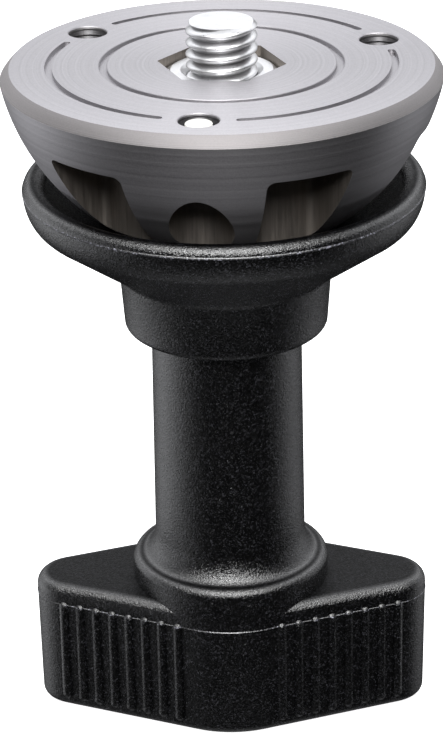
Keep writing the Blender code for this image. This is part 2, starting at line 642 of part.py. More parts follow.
def core_outline(x_side, y_side):
    """Plan of one of the four hollows under the wings, between the central web and a side wall."""
    wall = HUB_RADIUS - CORE_WALL
    web = CORE_WEB / 2
    end_x = (wall - cos(WING_ANGLE) * (web + CORE_END_WIDTH)) / sin(WING_ANGLE)
    low = asin(web / CORE_BOSS_RADIUS)
    high = pi / 2 - WING_ANGLE - acos((wall - CORE_END_WIDTH) / CORE_BOSS_RADIUS)
    boss_x, boss_y = around(CORE_BOSS_RADIUS, high)
    points = [(boss_x + sin(WING_ANGLE) * CORE_END_WIDTH, boss_y + cos(WING_ANGLE) * CORE_END_WIDTH)]
    points += [around(CORE_BOSS_RADIUS, high + (low - high) * step / 4) for step in range(5)]
    points += [(end_x, web), (end_x, web + CORE_END_WIDTH)]
    outline = [(x * x_side, y * y_side) for x, y in points]
    return outline if x_side * y_side > 0 else outline[::-1]


def make_knob(plastic):
    """Moulded handle: tube with a flange, hub and two ribbed wings, bored for the insert and the stop."""
    hub = HUB_RADIUS + HUB_LIP
    foot_radius = hub - HUB_EDGE
    hub_bottom = PARTING_HEIGHT - GAP / 2
    edge = GAP
    outline = [
        (0, HANDLE_HEIGHT), (FLANGE_RADIUS - edge, HANDLE_HEIGHT), (FLANGE_RADIUS, HANDLE_HEIGHT - edge),
        (FLANGE_RADIUS, HANDLE_HEIGHT - FLANGE_THICKNESS), (TUBE_TOP_RADIUS, HANDLE_HEIGHT - FLANGE_THICKNESS),
    ]
    outline += arc((foot_radius, HUB_TOP + FOOT_RISE), (foot_radius - TUBE_BASE_RADIUS, FOOT_RISE), pi, 3 * pi / 2, 6)
    outline += arc((foot_radius, HUB_TOP - HUB_EDGE), (HUB_EDGE, HUB_EDGE), pi / 2, 0, 4)[1:]
    outline += [(hub, hub_bottom), (0, hub_bottom)]
    knob = turned("wing_knob", outline, plastic, steps=FINE_STEPS, bored=False)
    wings = stacked("wings", wing_levels(), wing_outline)
    combine(wings, make_ribs(), "UNION")
    combine(knob, wings, "UNION")
    for x_side, y_side in ((1, 1), (-1, 1), (1, -1), (-1, -1)):
        name = "core_" + ("right" if x_side > 0 else "left") + ("_back" if y_side > 0 else "_front")
        combine(knob, prism(name, core_outline(x_side, y_side), -GAP, CORE_DEPTH))
    cap_seat = CAP_THICKNESS + 2 * GAP
    bore = [
        (0, HANDLE_HEIGHT + GAP), (INSERT_BORE, HANDLE_HEIGHT + GAP), (INSERT_BORE, cap_seat),
        (CAP_RADIUS + GAP, cap_seat), (CAP_RADIUS + GAP, -GAP), (0, -GAP),
    ]
    combine(knob, turned("handle_bore", bore, bored=False))
    settle(knob)


def make_insert(brass):
    """Brass insert at the top of the handle, with a wide head under the thrust washer."""
    turned_insert = ring_outline(STUD_BORE, INSERT_RADIUS, INSERT_BOTTOM, HANDLE_HEIGHT, GAP)
    settle(turned("threaded_insert", turned_insert, brass))


def make_washers(steel, nylon):
    """The two thrust washers between the handle's top face and the cup's shoulder."""
    steel_top = THRUST_WASHER_BOTTOM + THRUST_WASHER_THICKNESS
    nylon_top = BEARING_WASHER_BOTTOM + BEARING_WASHER_THICKNESS
    settle(turned("thrust_washer", ring_outline(STUD_BORE, FLANGE_RADIUS, THRUST_WASHER_BOTTOM, steel_top), steel))
    settle(turned("bearing_washer", ring_outline(STUD_BORE, FLANGE_RADIUS, BEARING_WASHER_BOTTOM, nylon_top), nylon))


def make_retaining_ring(steel):
    """Internal ring sprung into the collar's groove, under the handle's flange."""
    outer = COLLAR_BORE + RING_GROOVE
    inner = TUBE_TOP_RADIUS + 2 * GAP
    ring = turned("cup_retaining_ring", ring_outline(inner, outer, RING_TOP - RING_THICKNESS, RING_TOP), steel)
    gap = [(0, -WASHER_SPLIT), (outer + GAP, -WASHER_SPLIT), (outer + GAP, WASHER_SPLIT), (0, WASHER_SPLIT)]
    combine(ring, prism("ring_gap", gap, RING_TOP - RING_THICKNESS - GAP, RING_TOP + GAP))
    settle(ring)


def make_stop(steel):
    """Washer and button-head screw at the stud's lower end, which the insert can't pass."""
    washer_bottom = STOP_WASHER_TOP - STOP_WASHER_THICKNESS
    hole = STOP_SHANK_RADIUS + GAP
    settle(turned("stop_washer", ring_outline(hole, STOP_WASHER_RADIUS, washer_bottom, STOP_WASHER_TOP), steel))
    head_top = washer_bottom - GAP
    head_bottom = head_top - STOP_HEAD_HEIGHT
    outline = [(0, STUD_BOTTOM + STOP_SHANK_LENGTH), (STOP_SHANK_RADIUS, STUD_BOTTOM + STOP_SHANK_LENGTH),
               (STOP_SHANK_RADIUS, head_top)]
    outline += arc((STOP_HEAD_RADIUS / 2, head_top), (STOP_HEAD_RADIUS / 2, STOP_HEAD_HEIGHT), 0, -pi / 2, 4)
    outline.append((0, head_bottom))
    screw = turned("stop_screw", outline, steel, steps=SMALL_STEPS, bored=False)
    combine(screw, hexagon("stop_socket", STOP_SOCKET_ACROSS_FLATS, head_bottom - GAP, head_bottom + STOP_SOCKET_DEPTH))
    settle(screw)


def make_end_cap(plastic):
    """Cap with a hollow plug that closes the handle's bore at the base."""
    plug = INSERT_BORE - GAP
    inner = plug - CAP_PLUG_WALL
    bottom = GAP
    top = bottom + CAP_THICKNESS
    outline = [
        (0, top), (inner, top), (inner, top + CAP_PLUG_LENGTH), (plug, top + CAP_PLUG_LENGTH), (plug, top),
        (CAP_RADIUS, top), (CAP_RADIUS, bottom + GAP), (CAP_RADIUS - GAP, bottom), (0, bottom),
    ]
    settle(turned("end_cap", outline, plastic, bored=False))


def build():
    start_clean()
    anodised = finish("anodised aluminium", (0.16, 0.16, 0.165), 0.36, 1.0)
    plated = finish("zinc plated steel", (0.62, 0.62, 0.6), 0.28, 1.0)
    steel = finish("blackened steel", (0.08, 0.08, 0.085), 0.45, 1.0)
    brass = finish("brass", (0.62, 0.45, 0.16), 0.3, 1.0)
    nylon = finish("white nylon", (0.78, 0.78, 0.75), 0.5)
    moulded = finish("black glass-filled nylon", (0.014, 0.014, 0.015), 0.55)
    clock = bpy.data.objects.new("ball_clock", None)
    bpy.data.collections[PARTS].objects.link(clock)
    clock.rotation_euler.z = BALL_CLOCK
    make_half_ball(anodised, clock)
    make_stud(plated)
    make_nut("top_nut", TOP_NUT_BOTTOM, TOP_NUT_TOP, plated, clock)
    make_nut("lower_nut", LOWER_NUT_BOTTOM, LOWER_NUT_TOP, plated, clock)
    make_lock_washer(steel, clock)
    for place, angle in SCREW_ANGLES.items():
        make_set_screw(place, angle, steel, nylon, clock)
    make_cup(moulded)
    make_knob(moulded)
    make_insert(brass)
    make_washers(steel, nylon)
    make_retaining_ring(steel)
    make_stop(plated)
    make_end_cap(moulded)


build()
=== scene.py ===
"""Half ball adapter for a 60 mm tripod bowl, dressed for a picture.

The packed model gives every piece its place. This script lays fine meshes and real finishes over it, and
sets a pale studio round it. Metres, +Z up, front towards -Y.
"""
from math import acos, asin, ceil, cos, pi, radians, sin, sqrt, tan

import bmesh
import bpy
from mathutils import Matrix, Vector


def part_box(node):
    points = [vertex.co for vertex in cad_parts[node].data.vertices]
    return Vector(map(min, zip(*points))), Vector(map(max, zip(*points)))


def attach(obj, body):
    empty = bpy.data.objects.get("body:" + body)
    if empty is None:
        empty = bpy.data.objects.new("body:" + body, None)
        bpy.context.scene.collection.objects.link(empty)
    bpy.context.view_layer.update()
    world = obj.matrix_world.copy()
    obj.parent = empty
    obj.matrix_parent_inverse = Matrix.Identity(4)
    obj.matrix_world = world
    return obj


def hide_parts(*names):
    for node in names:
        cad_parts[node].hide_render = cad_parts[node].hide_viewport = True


bl_info = {
    "name": "Half Ball Adapter",
    "version": (1, 0, 0),
    "blender": (4, 5, 0),
    "location": "View3D > Sidebar > Half Ball",
    "description": "Half ball adapter with its clamp cup, wing knob and studio",
    "category": "Add Mesh",
}

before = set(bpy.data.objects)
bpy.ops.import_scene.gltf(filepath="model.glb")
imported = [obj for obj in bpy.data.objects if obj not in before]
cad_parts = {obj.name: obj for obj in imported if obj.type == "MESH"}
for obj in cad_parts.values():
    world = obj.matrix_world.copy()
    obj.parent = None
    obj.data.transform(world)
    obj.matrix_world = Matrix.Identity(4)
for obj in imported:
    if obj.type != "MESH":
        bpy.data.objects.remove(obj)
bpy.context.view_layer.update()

MM = 0.001

# Heights above the knob's base, as in the solids
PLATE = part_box("half_ball")[1].z
BALL_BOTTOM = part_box("half_ball")[0].z
STUD_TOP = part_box("clamp_stud")[1].z
STUD_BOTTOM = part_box("clamp_stud")[0].z
TOP_NUT_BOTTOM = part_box("top_nut")[0].z
COLLAR_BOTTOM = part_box("clamp_cup")[0].z
HANDLE_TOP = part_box("wing_knob")[1].z
BEARING_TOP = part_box("bearing_washer")[1].z
RING_BOTTOM, RING_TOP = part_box("cup_retaining_ring")[0].z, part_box("cup_retaining_ring")[1].z
CAP_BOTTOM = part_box("end_cap")[0].z

GAP = 0.3 * MM  # play between pieces, and how far a tool reaches past what it cuts
HAIR = 0.03 * MM  # keeps faces of a thread and its mate apart
WELD = 0.0005 * MM  # points nearer than this are one
BALL_CLOCK = radians(-6)  # how far the ball stands turned about the stud
SCREW_PLACES = {"front": radians(270), "right": radians(30), "left": radians(150)}
POCKET_NEAR, POCKET_FAR = radians(19.8), radians(45.0)  # sides of a lightening pocket, from its screw's axis
POCKET_CLOCK = radians(-0.9)
QUARTERS = ((1, 1), (-1, 1), (1, -1), (-1, -1))

# Corners that turned pieces are drawn with
BALL_STEPS = 240
MOULDING_STEPS = 200
WASHER_STEPS = 120
THREAD_CREASE = 40  # degrees, above which an edge of a thread stays sharp


def distance(name, description, millimetres):
    """A length, given in millimetres, which a user may change."""
    return bpy.props.FloatProperty(
        name=name, description=description, default=millimetres * MM, min=0.0, precision=5, unit="LENGTH",
        subtype="DISTANCE")


def tint(name, description, colour):
    """A colour, given as sRGB hex, which a user may change."""
    return bpy.props.FloatVectorProperty(
        name=name, description=description, default=linear(colour), size=3, min=0.0, max=1.0, subtype="COLOR")


def linear(colour):
    """Turns an sRGB hex value into linear red, green and blue."""
    values = [(colour >> shift & 255) / 255 for shift in (16, 8, 0)]
    return tuple(value / 12.92 if value <= 0.04045 else ((value + 0.055) / 1.055) ** 2.4 for value in values)


def glow(name, description, strength, unit="NONE"):
    """A light's strength, which a user may change."""
    return bpy.props.FloatProperty(name=name, description=description, default=strength, min=0.0, unit=unit)


def section(kind, name):
    """A group of settings, described by its own docstring."""
    return bpy.props.PointerProperty(type=kind, name=name, description=kind.__doc__)


class BallSizes(bpy.types.PropertyGroup):
    """Sizes of the half ball and its set screws"""
    radius: distance("Ball radius", "Radius of the spherical underside", 30.0)
    centre_rise: distance("Centre rise", "Sphere's centre, above the flat top", 4.6)
    rim_drop: distance("Rim drop", "Height of the bevel round the flat top", 1.5)
    rim_inset: distance("Rim inset", "Width of the bevel round the flat top", 1.3)
    rim_swell: distance("Rim swell", "How far the bevel bulges out of a straight line", 0.09)
    groove_width: distance("Groove width", "Width of the grooves in the flat top", 1.0)
    groove_depth: distance("Groove depth", "Depth of the grooves in the flat top", 0.6)
    inner_groove: distance("Inner groove", "Radius of the inner groove's middle", 15.7)
    screw_inset: distance("Screw inset", "Set screws' axes, inwards from the rim", 6.47)
    groove_stop: distance("Groove stop", "End of the outer groove, from a set screw's axis", 5.2)
    roof_drop: distance("Pocket roof", "Roof of the pockets, below the flat top", 6.95)
    pocket_inset: distance("Pocket inset", "Pocket's back wall, inwards from the set screws' axes", 3.9)
    pocket_fillet: distance("Pocket fillet", "Radius along a pocket's inner corners", 1.1)
    key_radius: distance("Key pocket", "Radius of the round pocket under a set screw", 4.2)
    key_inset: distance("Key pocket inset", "Round pocket's axis, inwards from the set screw's", 0.7)
    nut_pocket: distance("Nut pocket", "Nut pocket across flats", 14.89)


class StudSizes(bpy.types.PropertyGroup):
    """Sizes of the stud, its nuts and the set screws"""
    radius: distance("Stud radius", "Crest radius of the thread", 4.75)
    core: distance("Core radius", "Root radius of the thread", 3.8)
    pitch: distance("Pitch", "Pitch of the thread, 16 turns to the inch", 25.4 / 16)
    chamfer: distance("Chamfer", "Chamfer at the stud's ends", 0.5)
    nut_flats: distance("Nut across flats", "9/16 inch", 14.29)
    screw_radius: distance("Set screw radius", "Crest radius of a set screw", 2.35)
    screw_pitch: distance("Set screw pitch", "Pitch of an M5 thread", 0.8)
    tip_radius: distance("Tip radius", "Radius of a set screw's nylon tip", 1.8)


class CupSizes(bpy.types.PropertyGroup):
    """Sizes of the clamp cup"""
    seat_play: distance("Seat play", "Room between the ball and the seat", 2.3)
    rim_drop: distance("Rim drop", "Parting line, below the flat top", 17.0)
    rim_wall: distance("Rim wall", "Width of the rounded rim", 3.04)
    bead: distance("Bead", "Radius of the rounded rim", 1.35)
    wall_tuck: distance("Wall tuck", "How far the wall curves in below", 1.55)
    wall_height: distance("Wall height", "Height of the wall under the rim", 4.2)
    collar_wall: distance("Collar wall", "Thickness of the collar", 2.7)
    collar_taper: distance("Collar taper", "How much the collar narrows down", 0.5)
    collar_edge: distance("Collar edge", "Rounding of the collar's lower edge", 1.0)
    cone_foot: distance("Cone foot", "Cone to collar, below the thrust shoulder", 2.7)


class KnobSizes(bpy.types.PropertyGroup):
    """Sizes of the wing knob"""
    wing_height: distance("Wing height", "Base to the wings' flat top", 19.4)
    parting: distance("Parting line", "Base to the mould halves' parting line", 16.6)
    bevel: distance("Wing rounding", "Rounding of the wings' upper edge", 1.7)
    base_edge: distance("Base rounding", "Rounding of the wings' lower edge", 1.2)
    hub_radius: distance("Hub radius", "Radius of the hub between the wings", 13.6)
    hub_lip: distance("Hub lip", "Step between the mould halves at the hub", 0.14)
    hub_rise: distance("Hub rise", "Top of the hub above the wings", 3.6)
    hub_edge: distance("Hub rounding", "Rounding of the hub's upper edge", 1.2)
    tip_radius: distance("Wing tip radius", "Radius of a wing's round end", 5.5)
    reach: distance("Wing reach", "Centre of a wing's round end", 22.1)
    tube_base: distance("Tube radius, base", "Handle tube where it leaves its foot", 10.52)
    tube_top: distance("Tube radius, top", "Handle tube under its flange", 10.25)
    foot_rise: distance("Foot rise", "Height of the fillet at the tube's foot", 3.95)
    rib_radius: distance("Rib radius", "Radius of a grip rib", 0.75)
    rib_proud: distance("Rib height", "How far a grip rib stands out", 0.45)
    rib_pitch: distance("Rib pitch", "Spacing of the grip ribs", 2.5)
    rib_count: bpy.props.IntProperty(name="Ribs", description="Grip ribs on each face", default=8, min=1)


class Finishes(bpy.types.PropertyGroup):
    """Colours of the pieces"""
    aluminium: tint("Anodised aluminium", "Half ball", 0xADABAE)
    milling: tint("Milled aluminium", "Walls of the half ball's pockets", 0x98918A)
    plating: tint("Zinc plating", "Stud, nuts and thrust washer", 0xE2E2E3)
    oxide: tint("Black oxide", "Set screws, lock washer and retaining ring", 0x2C2C2F)
    nylon: tint("White nylon", "Set screws' tips and bearing washer", 0xD9D8D3)
    moulding: tint("Black moulding", "Cup, knob and end cap", 0x050506)
    brass: tint("Brass", "Threaded insert", 0xC9A35A)
    floor: tint("Floor", "Studio floor", 0xF4F4F5)


class StudioSettings(bpy.types.PropertyGroup):
    """Lights of the studio"""
    key: glow("Key", "Square soft box in front, above the camera", 5.7, "POWER")
    fill: glow("Fill", "Wide soft box high in front", 9.0, "POWER")
    left: glow("Left screen", "Brightness of the screen on the left", 1.55)
    right: glow("Right screen", "Brightness of the screen on the right", 0.95)
    back: glow("Back screen", "Brightness of the screen behind", 1.5)
    back_top: glow("High back", "Brightness above the screen behind", 1.3)
    table: glow("Light table", "Glow of the lit table", 0.8)
    below: glow("Under glow", "Glow seen straight down", 0.3)
    room: glow("Room", "Light from the rest of the room", 0.01)


class AdapterSettings(bpy.types.PropertyGroup):
    """All settings of the adapter"""
    ball: section(BallSizes, "Half ball")
    stud: section(StudSizes, "Stud")
    cup: section(CupSizes, "Clamp cup")
    knob: section(KnobSizes, "Wing knob")
    finishes: section(Finishes, "Finishes")
    studio: section(StudioSettings, "Studio")


def settings():
    return bpy.context.scene.half_ball_adapter


# Finishes

def add_node(near, kind, links=None, **values):
    """Adds a node to the tree in which near, a node or a socket, stands.

    values set its settings or its sockets, and links joins sockets to other nodes' outputs.
    """
    tree = near.id_data
    node = tree.nodes.new(kind)
    for key, value in values.items():
        if hasattr(node, key):
            setattr(node, key, value)
        else:
            socket_named(node, key).default_value = value
    for key, source in (links or {}).items():
        tree.links.new(source, socket_named(node, key))
    return node


def socket_named(node, key):
    """A socket by its number, as in input_1, or by its name in lower case with underscores."""
    if key.startswith("input_"):
        return node.inputs[int(key[6:])]
    for socket in node.inputs:
        if socket.enabled and socket.name.lower().replace(" ", "_") == key:
            return socket
    raise KeyError(f"{node.bl_idname} has no input {key}")


def start_material(name, metallic=0.0):
    """An empty material with its shader and the object's own coordinates."""
    material = bpy.data.materials.new(name)
    material.use_nodes = True
    shader = material.node_tree.nodes["Principled BSDF"]
    shader.inputs["Metallic"].default_value = metallic
    return material, shader, add_node(shader, "ShaderNodeTexCoord").outputs["Object"]


def plug(node, name, source):
    """Links another node's output to a node's socket."""
    node.id_data.links.new(source, node.inputs[name])


def ramp(source, low, high, dark, light):
    """Maps the source from low..high to dark..light."""
    return add_node(source, "ShaderNodeMapRange", {"value": source}, from_min=low, from_max=high, to_min=dark,
                    to_max=light).outputs["Result"]


NOISE = (0.3, 0.7)  # where most of a noise's values lie
TWO_NOISES = (0.6, 1.4)


def combined(operation, first, second):
    """Two values added or multiplied."""
    return add_node(first, "ShaderNodeMath", {"input_0": first, "input_1": second}, operation=operation).outputs[0]


def noise(place, size, detail=2.0, roughness=0.5):
    """Even noise over the object, its largest clouds of the given size in metres."""
    return add_node(place, "ShaderNodeTexNoise", {"vector": place}, scale=1 / size, detail=detail,
                    roughness=roughness).outputs["Fac"]


def parts(vector):
    """The X, Y and Z of a vector."""
    return add_node(vector, "ShaderNodeSeparateXYZ", {"vector": vector}).outputs


def stretched(place, factors):
    """The coordinates, each times a factor."""
    return add_node(place, "ShaderNodeVectorMath", {"input_0": place}, operation="MULTIPLY",
                    input_1=factors).outputs[0]


def plan_radius(place):
    """Distance from the main axis."""
    across = stretched(place, (1.0, 1.0, 0.0))
    return add_node(place, "ShaderNodeVectorMath", {"input_0": across}, operation="LENGTH").outputs["Value"]


def lathe_coordinate(place):
    """Distance along a turned profile: radius less height, so tool marks run round the axis on every face."""
    return add_node(place, "ShaderNodeMath", {"input_0": parts(place)["Z"], "input_2": plan_radius(place)},
                    operation="MULTIPLY_ADD", input_1=-1.0).outputs[0]


def paint(shader, colour, shade):
    """Gives the shader a colour times a shade, which is another node's output."""
    base = add_node(shader, "ShaderNodeVectorMath", {"scale": shade}, operation="SCALE", input_0=colour)
    plug(shader, "Base Color", base.outputs[0])


def dull(shader, source, span, roughness, share):
    """Lets the roughness vary by a share of itself either way, as the source goes through a span."""
    plug(shader, "Roughness", ramp(source, *span, roughness * (1 - share), roughness * (1 + share)))


def emboss(shader, height, depth, strength=1.0):
    """Raises and sinks the surface by a height from 0 to 1, times depth in metres."""
    bump = add_node(shader, "ShaderNodeBump", {"height": height}, strength=strength, distance=depth)
    plug(shader, "Normal", bump.outputs[0])


def turned_metal(name, colour, roughness, feed, depth, mottle=0.12, stretch=0.5):
    """A lathe-turned metal. feed is the spacing of the tool marks and depth their height, both in metres."""
    material, shader, place = start_material(name, 1.0)
    marks = add_node(shader, "ShaderNodeTexNoise", {"w": lathe_coordinate(place)}, noise_dimensions="1D",
                     scale=1 / feed, detail=3.0, roughness=0.6).outputs["Fac"]
    both = combined("ADD", marks, noise(place, 0.22 * MM, roughness=0.7))
    paint(shader, colour, ramp(both, *TWO_NOISES, 1 - mottle, 1 + mottle))
    dull(shader, both, TWO_NOISES, roughness, 0.12)
    emboss(shader, marks, depth)
    tangent = add_node(shader, "ShaderNodeTangent", direction_type="RADIAL", axis="Z")
    plug(shader, "Tangent", tangent.outputs[0])
    shader.inputs["Anisotropic"].default_value = stretch
    shader.inputs["Anisotropic Rotation"].default_value = 0.25
    return material


def milled_metal(name, colour, roughness):
    """A wall cut by an end mill or a tap: duller than the turned face, with faint upright chatter lines."""
    material, shader, place = start_material(name, 1.0)
    lines = noise(stretched(place, (1.0, 1.0, 0.05)), 0.3 * MM, roughness=0.6)
    paint(shader, colour, ramp(lines, *NOISE, 0.84, 1.14))
    dull(shader, lines, NOISE, roughness, 0.1)
    emboss(shader, lines, 0.02 * MM)
    return material


def plated_metal(name, colour, roughness, root=0.0, crest=0.0):
    """A plated steel: smooth, with the faint cloudiness of a dipped coat. A thread is darker at its root, which is
    painted shade.
    """
    material, shader, place = start_material(name, 1.0)
    fine = noise(place, 0.2 * MM)
    cloudiness_and_root_shade = ramp(noise(place, 1.4 * MM, 4.0), *NOISE, 0.94, 1.03)
    # Painted shade: darker from the crest down to the thread's root
    if crest:
        cloudiness_and_root_shade = combined("MULTIPLY", cloudiness_and_root_shade, ramp(plan_radius(place), root, crest, 0.58, 1.0))
    paint(shader, colour, cloudiness_and_root_shade)
    dull(shader, fine, NOISE, roughness, 0.25)
    emboss(shader, fine, 0.01 * MM, 0.5)
    return material


def moulded_plastic(name, colour, roughness, grain_size, depth, gloss):
    """A glass-filled nylon moulded in a spark-eroded tool: near black, an even grain, and pale flecks of glass."""
    material, shader, place = start_material(name)
    # The real grain is about 0.1 mm; it is drawn at twice that, or it would not show.
    cell = 0.78 * grain_size
    cells = add_node(shader, "ShaderNodeTexVoronoi", {"vector": place}, scale=1 / cell).outputs["Color"]
    lone = parts(cells)
    paint(shader, colour, ramp(lone["X"], 0.8, 1.0, 0.4, 10.0))
    # The faces square to the tool's opening were eroded coarser, and look duller than the sides.
    square = (0.86, 1.0)  # upward share of the normal, from a tilted face to a level one
    upward = parts(add_node(shader, "ShaderNodeTexCoord").outputs["Normal"])["Z"]
    varied = ramp(lone["Y"], 0.0, 1.0, 0.7, 1.3)
    plug(shader, "Roughness", combined("MULTIPLY", ramp(upward, *square, roughness, 0.42), varied))
    emboss(shader, noise(place, grain_size, roughness=0.7), depth)
    shader.inputs["IOR"].default_value = 1.6
    plug(shader, "Specular IOR Level", ramp(upward, *square, gloss, gloss * 0.06))
    return material


def turned_plastic(name, colour, roughness):
    """A turned white nylon: slightly waxy, with the faint marks of the tool."""
    material, shader, place = start_material(name)
    fine = noise(place, 0.3 * MM)
    paint(shader, colour, ramp(fine, *NOISE, 0.96, 1.0))
    dull(shader, fine, NOISE, roughness, 0.1)
    emboss(shader, fine, 0.02 * MM, 0.4)
    shader.inputs["Subsurface Weight"].default_value = 0.15
    shader.inputs["Subsurface Radius"].default_value = (0.6 * MM, 0.6 * MM, 0.5 * MM)
    return material


FINISHES = {}


def mixed(*shares):
    """A colour made of others, each given with its share."""
    return tuple(sum(share * colour[channel] for colour, share in shares) for channel in range(3))


def finish(name):
    """The material of that name, made when it is first asked for."""
    thread, colours = settings().stud, settings().finishes
    crest = thread.radius - 0.25 * MM
    feed, marks, grain = 0.34 * MM, 0.03 * MM, 0.25 * MM
    grey, milling, plating = tuple(colours.aluminium), tuple(colours.milling), tuple(colours.plating)
    black, edge = tuple(colours.moulding), mixed((grey, 0.57), (milling, 0.28))
    nylon = "glass-filled nylon, "
    # Maker, name, colour and roughness, then what else the maker asks for
    recipes = {
        # Rings of fine tool marks draw the light out across them
        "anodised_aluminium": (turned_metal, "anodised aluminium, turned", grey, 0.47, feed, marks, 0.16),
        # A dull warm grey, with hardly a highlight
        "blasted_aluminium": (turned_metal, "anodised aluminium, blasted edge", edge, 0.66, feed, marks, 0.16, 0.3),
        # Painted shade: dark inside the tapped holes, between the turns of the thread
        "tapped_aluminium": (milled_metal, "anodised aluminium, tapped", mixed((grey, 0.35)), 0.5),
        # Dull walls with faint upright lines
        "milled_aluminium": (milled_metal, "anodised aluminium, milled", milling, 0.62),
        # Bright and slightly cloudy
        "plated_steel": (plated_metal, "zinc plated steel", plating, 0.36),
        # Bright crests over roots darkened by painted shade
        "plated_thread": (plated_metal, "zinc plated steel, thread", plating, 0.36, thread.core, crest),
        # Nearly black, with a soft sheen
        "spring_steel": (plated_metal, "black oxide steel", tuple(colours.oxide), 0.34),
        # Waxy white
        "white_nylon": (turned_plastic, "white nylon, turned", tuple(colours.nylon), 0.45),
        # Deep black, with a grain that glints
        "black_nylon": (moulded_plastic, nylon + "moulded", black, 0.22, grain, 0.11 * MM, 1.0),
        # Painted highlight: a thin greyer line along the parting flash
        "flash_nylon": (moulded_plastic, nylon + "parting flash", mixed((black, 14)), 0.3, grain, 0.05 * MM, 1.0),
        # Black, duller and rougher
        "coarse_nylon": (moulded_plastic, nylon + "coarse grain", black, 0.5, 0.3 * MM, 0.2 * MM, 0.3),
        # Warm yellow and bright
        "brass": (turned_metal, "brass, turned", tuple(colours.brass), 0.3, 0.2 * MM, 0.004 * MM),
    }
    if name not in FINISHES:
        maker, *values = recipes[name]
        FINISHES[name] = maker(*values)
    return FINISHES[name]


# Shapes

def spread(start, end, count):
    """Evenly spaced values from start to end, with count steps between them."""
    return [start + (end - start) * step / count for step in range(count + 1)]


def arc(centre, radius, start, end, count, rise=None):
    """Points on a circle about centre, between two angles, or on an ellipse of which rise is the upright radius."""
    return [(centre[0] + radius * cos(angle), centre[1] + (rise or radius) * sin(angle))
            for angle in spread(start, end, count)]


def around(radius, angle):
    return radius * cos(angle), radius * sin(angle)


def new_object(name, cage):
    """Makes an object of a cage and frees the cage."""
    bmesh.ops.recalc_face_normals(cage, faces=cage.faces)
    mesh = bpy.data.meshes.new(name)
    cage.to_mesh(mesh)
    cage.free()
    piece = bpy.data.objects.new(name, mesh)
    bpy.context.scene.collection.objects.link(piece)
    return piece


def turned(name, outline, steps, centre=(0.0, 0.0)):
    """Turns an outline about an upright axis. It is closed on the axis if it touches it, and else on itself."""
    cage = bmesh.new()
    solid = min(radius for radius, height in outline) < WELD
    rings = []
    for radius, height in outline:
        if radius < WELD:
            rings.append([cage.verts.new((*centre, height))] * steps)
            continue
        spots = [around(radius, 2 * pi * step / steps) for step in range(steps)]
        rings.append([cage.verts.new((centre[0] + x, centre[1] + y, height)) for x, y in spots])
    for upper, lower in zip(rings, rings[1:] if solid else rings[1:] + rings[:1]):
        for step in range(steps):
            after = (step + 1) % steps
            corners = dict.fromkeys((upper[step], lower[step], lower[after], upper[after]))
            if len(corners) > 2:
                cage.faces.new(corners)
    return new_object(name, cage)


def bar(name, radius, bottom, top, steps, centre=(0.0, 0.0)):
    """A plain round bar."""
    return turned(name, [(0, top), (radius, top), (radius, bottom), (0, bottom)], steps, centre)


def lofted(name, rings):
    """A closed solid through rings of points that all have the same count."""
    cage = bmesh.new()
    loops = [[cage.verts.new(point) for point in ring] for ring in rings]
    for lower, upper in zip(loops, loops[1:]):
        for index in range(len(lower)):
            after = (index + 1) % len(lower)
            cage.faces.new((lower[index], lower[after], upper[after], upper[index]))
    cage.faces.new(reversed(loops[0]))
    cage.faces.new(loops[-1])
    return new_object(name, cage)


def prism(name, outline, bottom, top, fillet=0.0):
    """An upright prism, its top and upright edges rounded by fillet."""
    piece = lofted(name, [[(x, y, height) for x, y in outline] for height in (bottom, top)])
    if fillet:
        cage = bmesh.new()
        cage.from_mesh(piece.data)
        sharp = [edge for edge in cage.edges if edge.calc_face_angle(0) > radians(40)]
        above = [edge for edge in sharp if max(vert.co.z for vert in edge.verts) > top - WELD]
        bmesh.ops.bevel(cage, geom=above, offset=fillet, segments=5, profile=0.5, affect="EDGES")
        cage.to_mesh(piece.data)
        cage.free()
    return piece


def hexagon(name, across_flats, bottom, top):
    corner = across_flats / 2 / cos(pi / 6)
    return prism(name, [around(corner, pi / 3 * step) for step in range(6)], bottom, top)


def carve(piece, tools, operation="DIFFERENCE"):
    """Cuts, joins or trims the piece with the tools, which are used up."""
    for tool in tools:
        step = piece.modifiers.new(tool.name, "BOOLEAN")
        step.object = tool
        step.operation = operation
        step.solver = "EXACT"
    bpy.context.view_layer.update()
    mesh = bpy.data.meshes.new_from_object(piece.evaluated_get(bpy.context.evaluated_depsgraph_get()))
    piece.modifiers.clear()
    piece.data = mesh
    for tool in tools:
        bpy.data.objects.remove(tool)
    if not mesh.polygons:
        raise RuntimeError(f"{piece.name} lost its faces")


def shade(piece, sharpest):
    """Welds hair-thin edges and shades the faces smooth, but for edges sharper than some degrees."""
    cage = bmesh.new()
    cage.from_mesh(piece.data)
    bmesh.ops.remove_doubles(cage, verts=cage.verts, dist=WELD)
    bmesh.ops.dissolve_degenerate(cage, edges=cage.edges, dist=WELD)
    cage.to_mesh(piece.data)
    cage.free()
    piece.data.shade_smooth()
    piece.data.set_sharp_from_angle(angle=radians(sharpest))


def turn_mesh(piece, angle):
    """Turns a piece's mesh about the main axis."""
    piece.data.transform(Matrix.Rotation(angle, 4, "Z"))


def dress(piece, body, slot, *nodes, sharpest=28):
    """Shades a piece, gives it its finish and its body, and hides the solids that it stands for."""
    shade(piece, sharpest)
    piece.data.materials.clear()
    piece.data.materials.append(finish(slot))
    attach(piece, body)
    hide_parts(*nodes)


def refinish(piece, slot, chosen):
    """Gives the chosen faces of a dressed piece another finish."""
    piece.data.materials.append(finish(slot))
    for face in piece.data.polygons:
        if chosen(face):
            face.material_index = len(piece.data.materials) - 1


def off_centre(face):
    """Distance of a face's middle from the ball's centre."""
    return (face.center - Vector((0, 0, ball_centre()))).length


def lies(face, inner=-1.0, outer=1.0, bottom=-1.0, top=1.0):
    """Whether a face's middle lies between two distances from the main axis and two heights."""
    return inner < face.center.xy.length < outer and bottom < face.center.z < top


# Half ball

def ball_centre():
    return PLATE + settings().ball.centre_rise


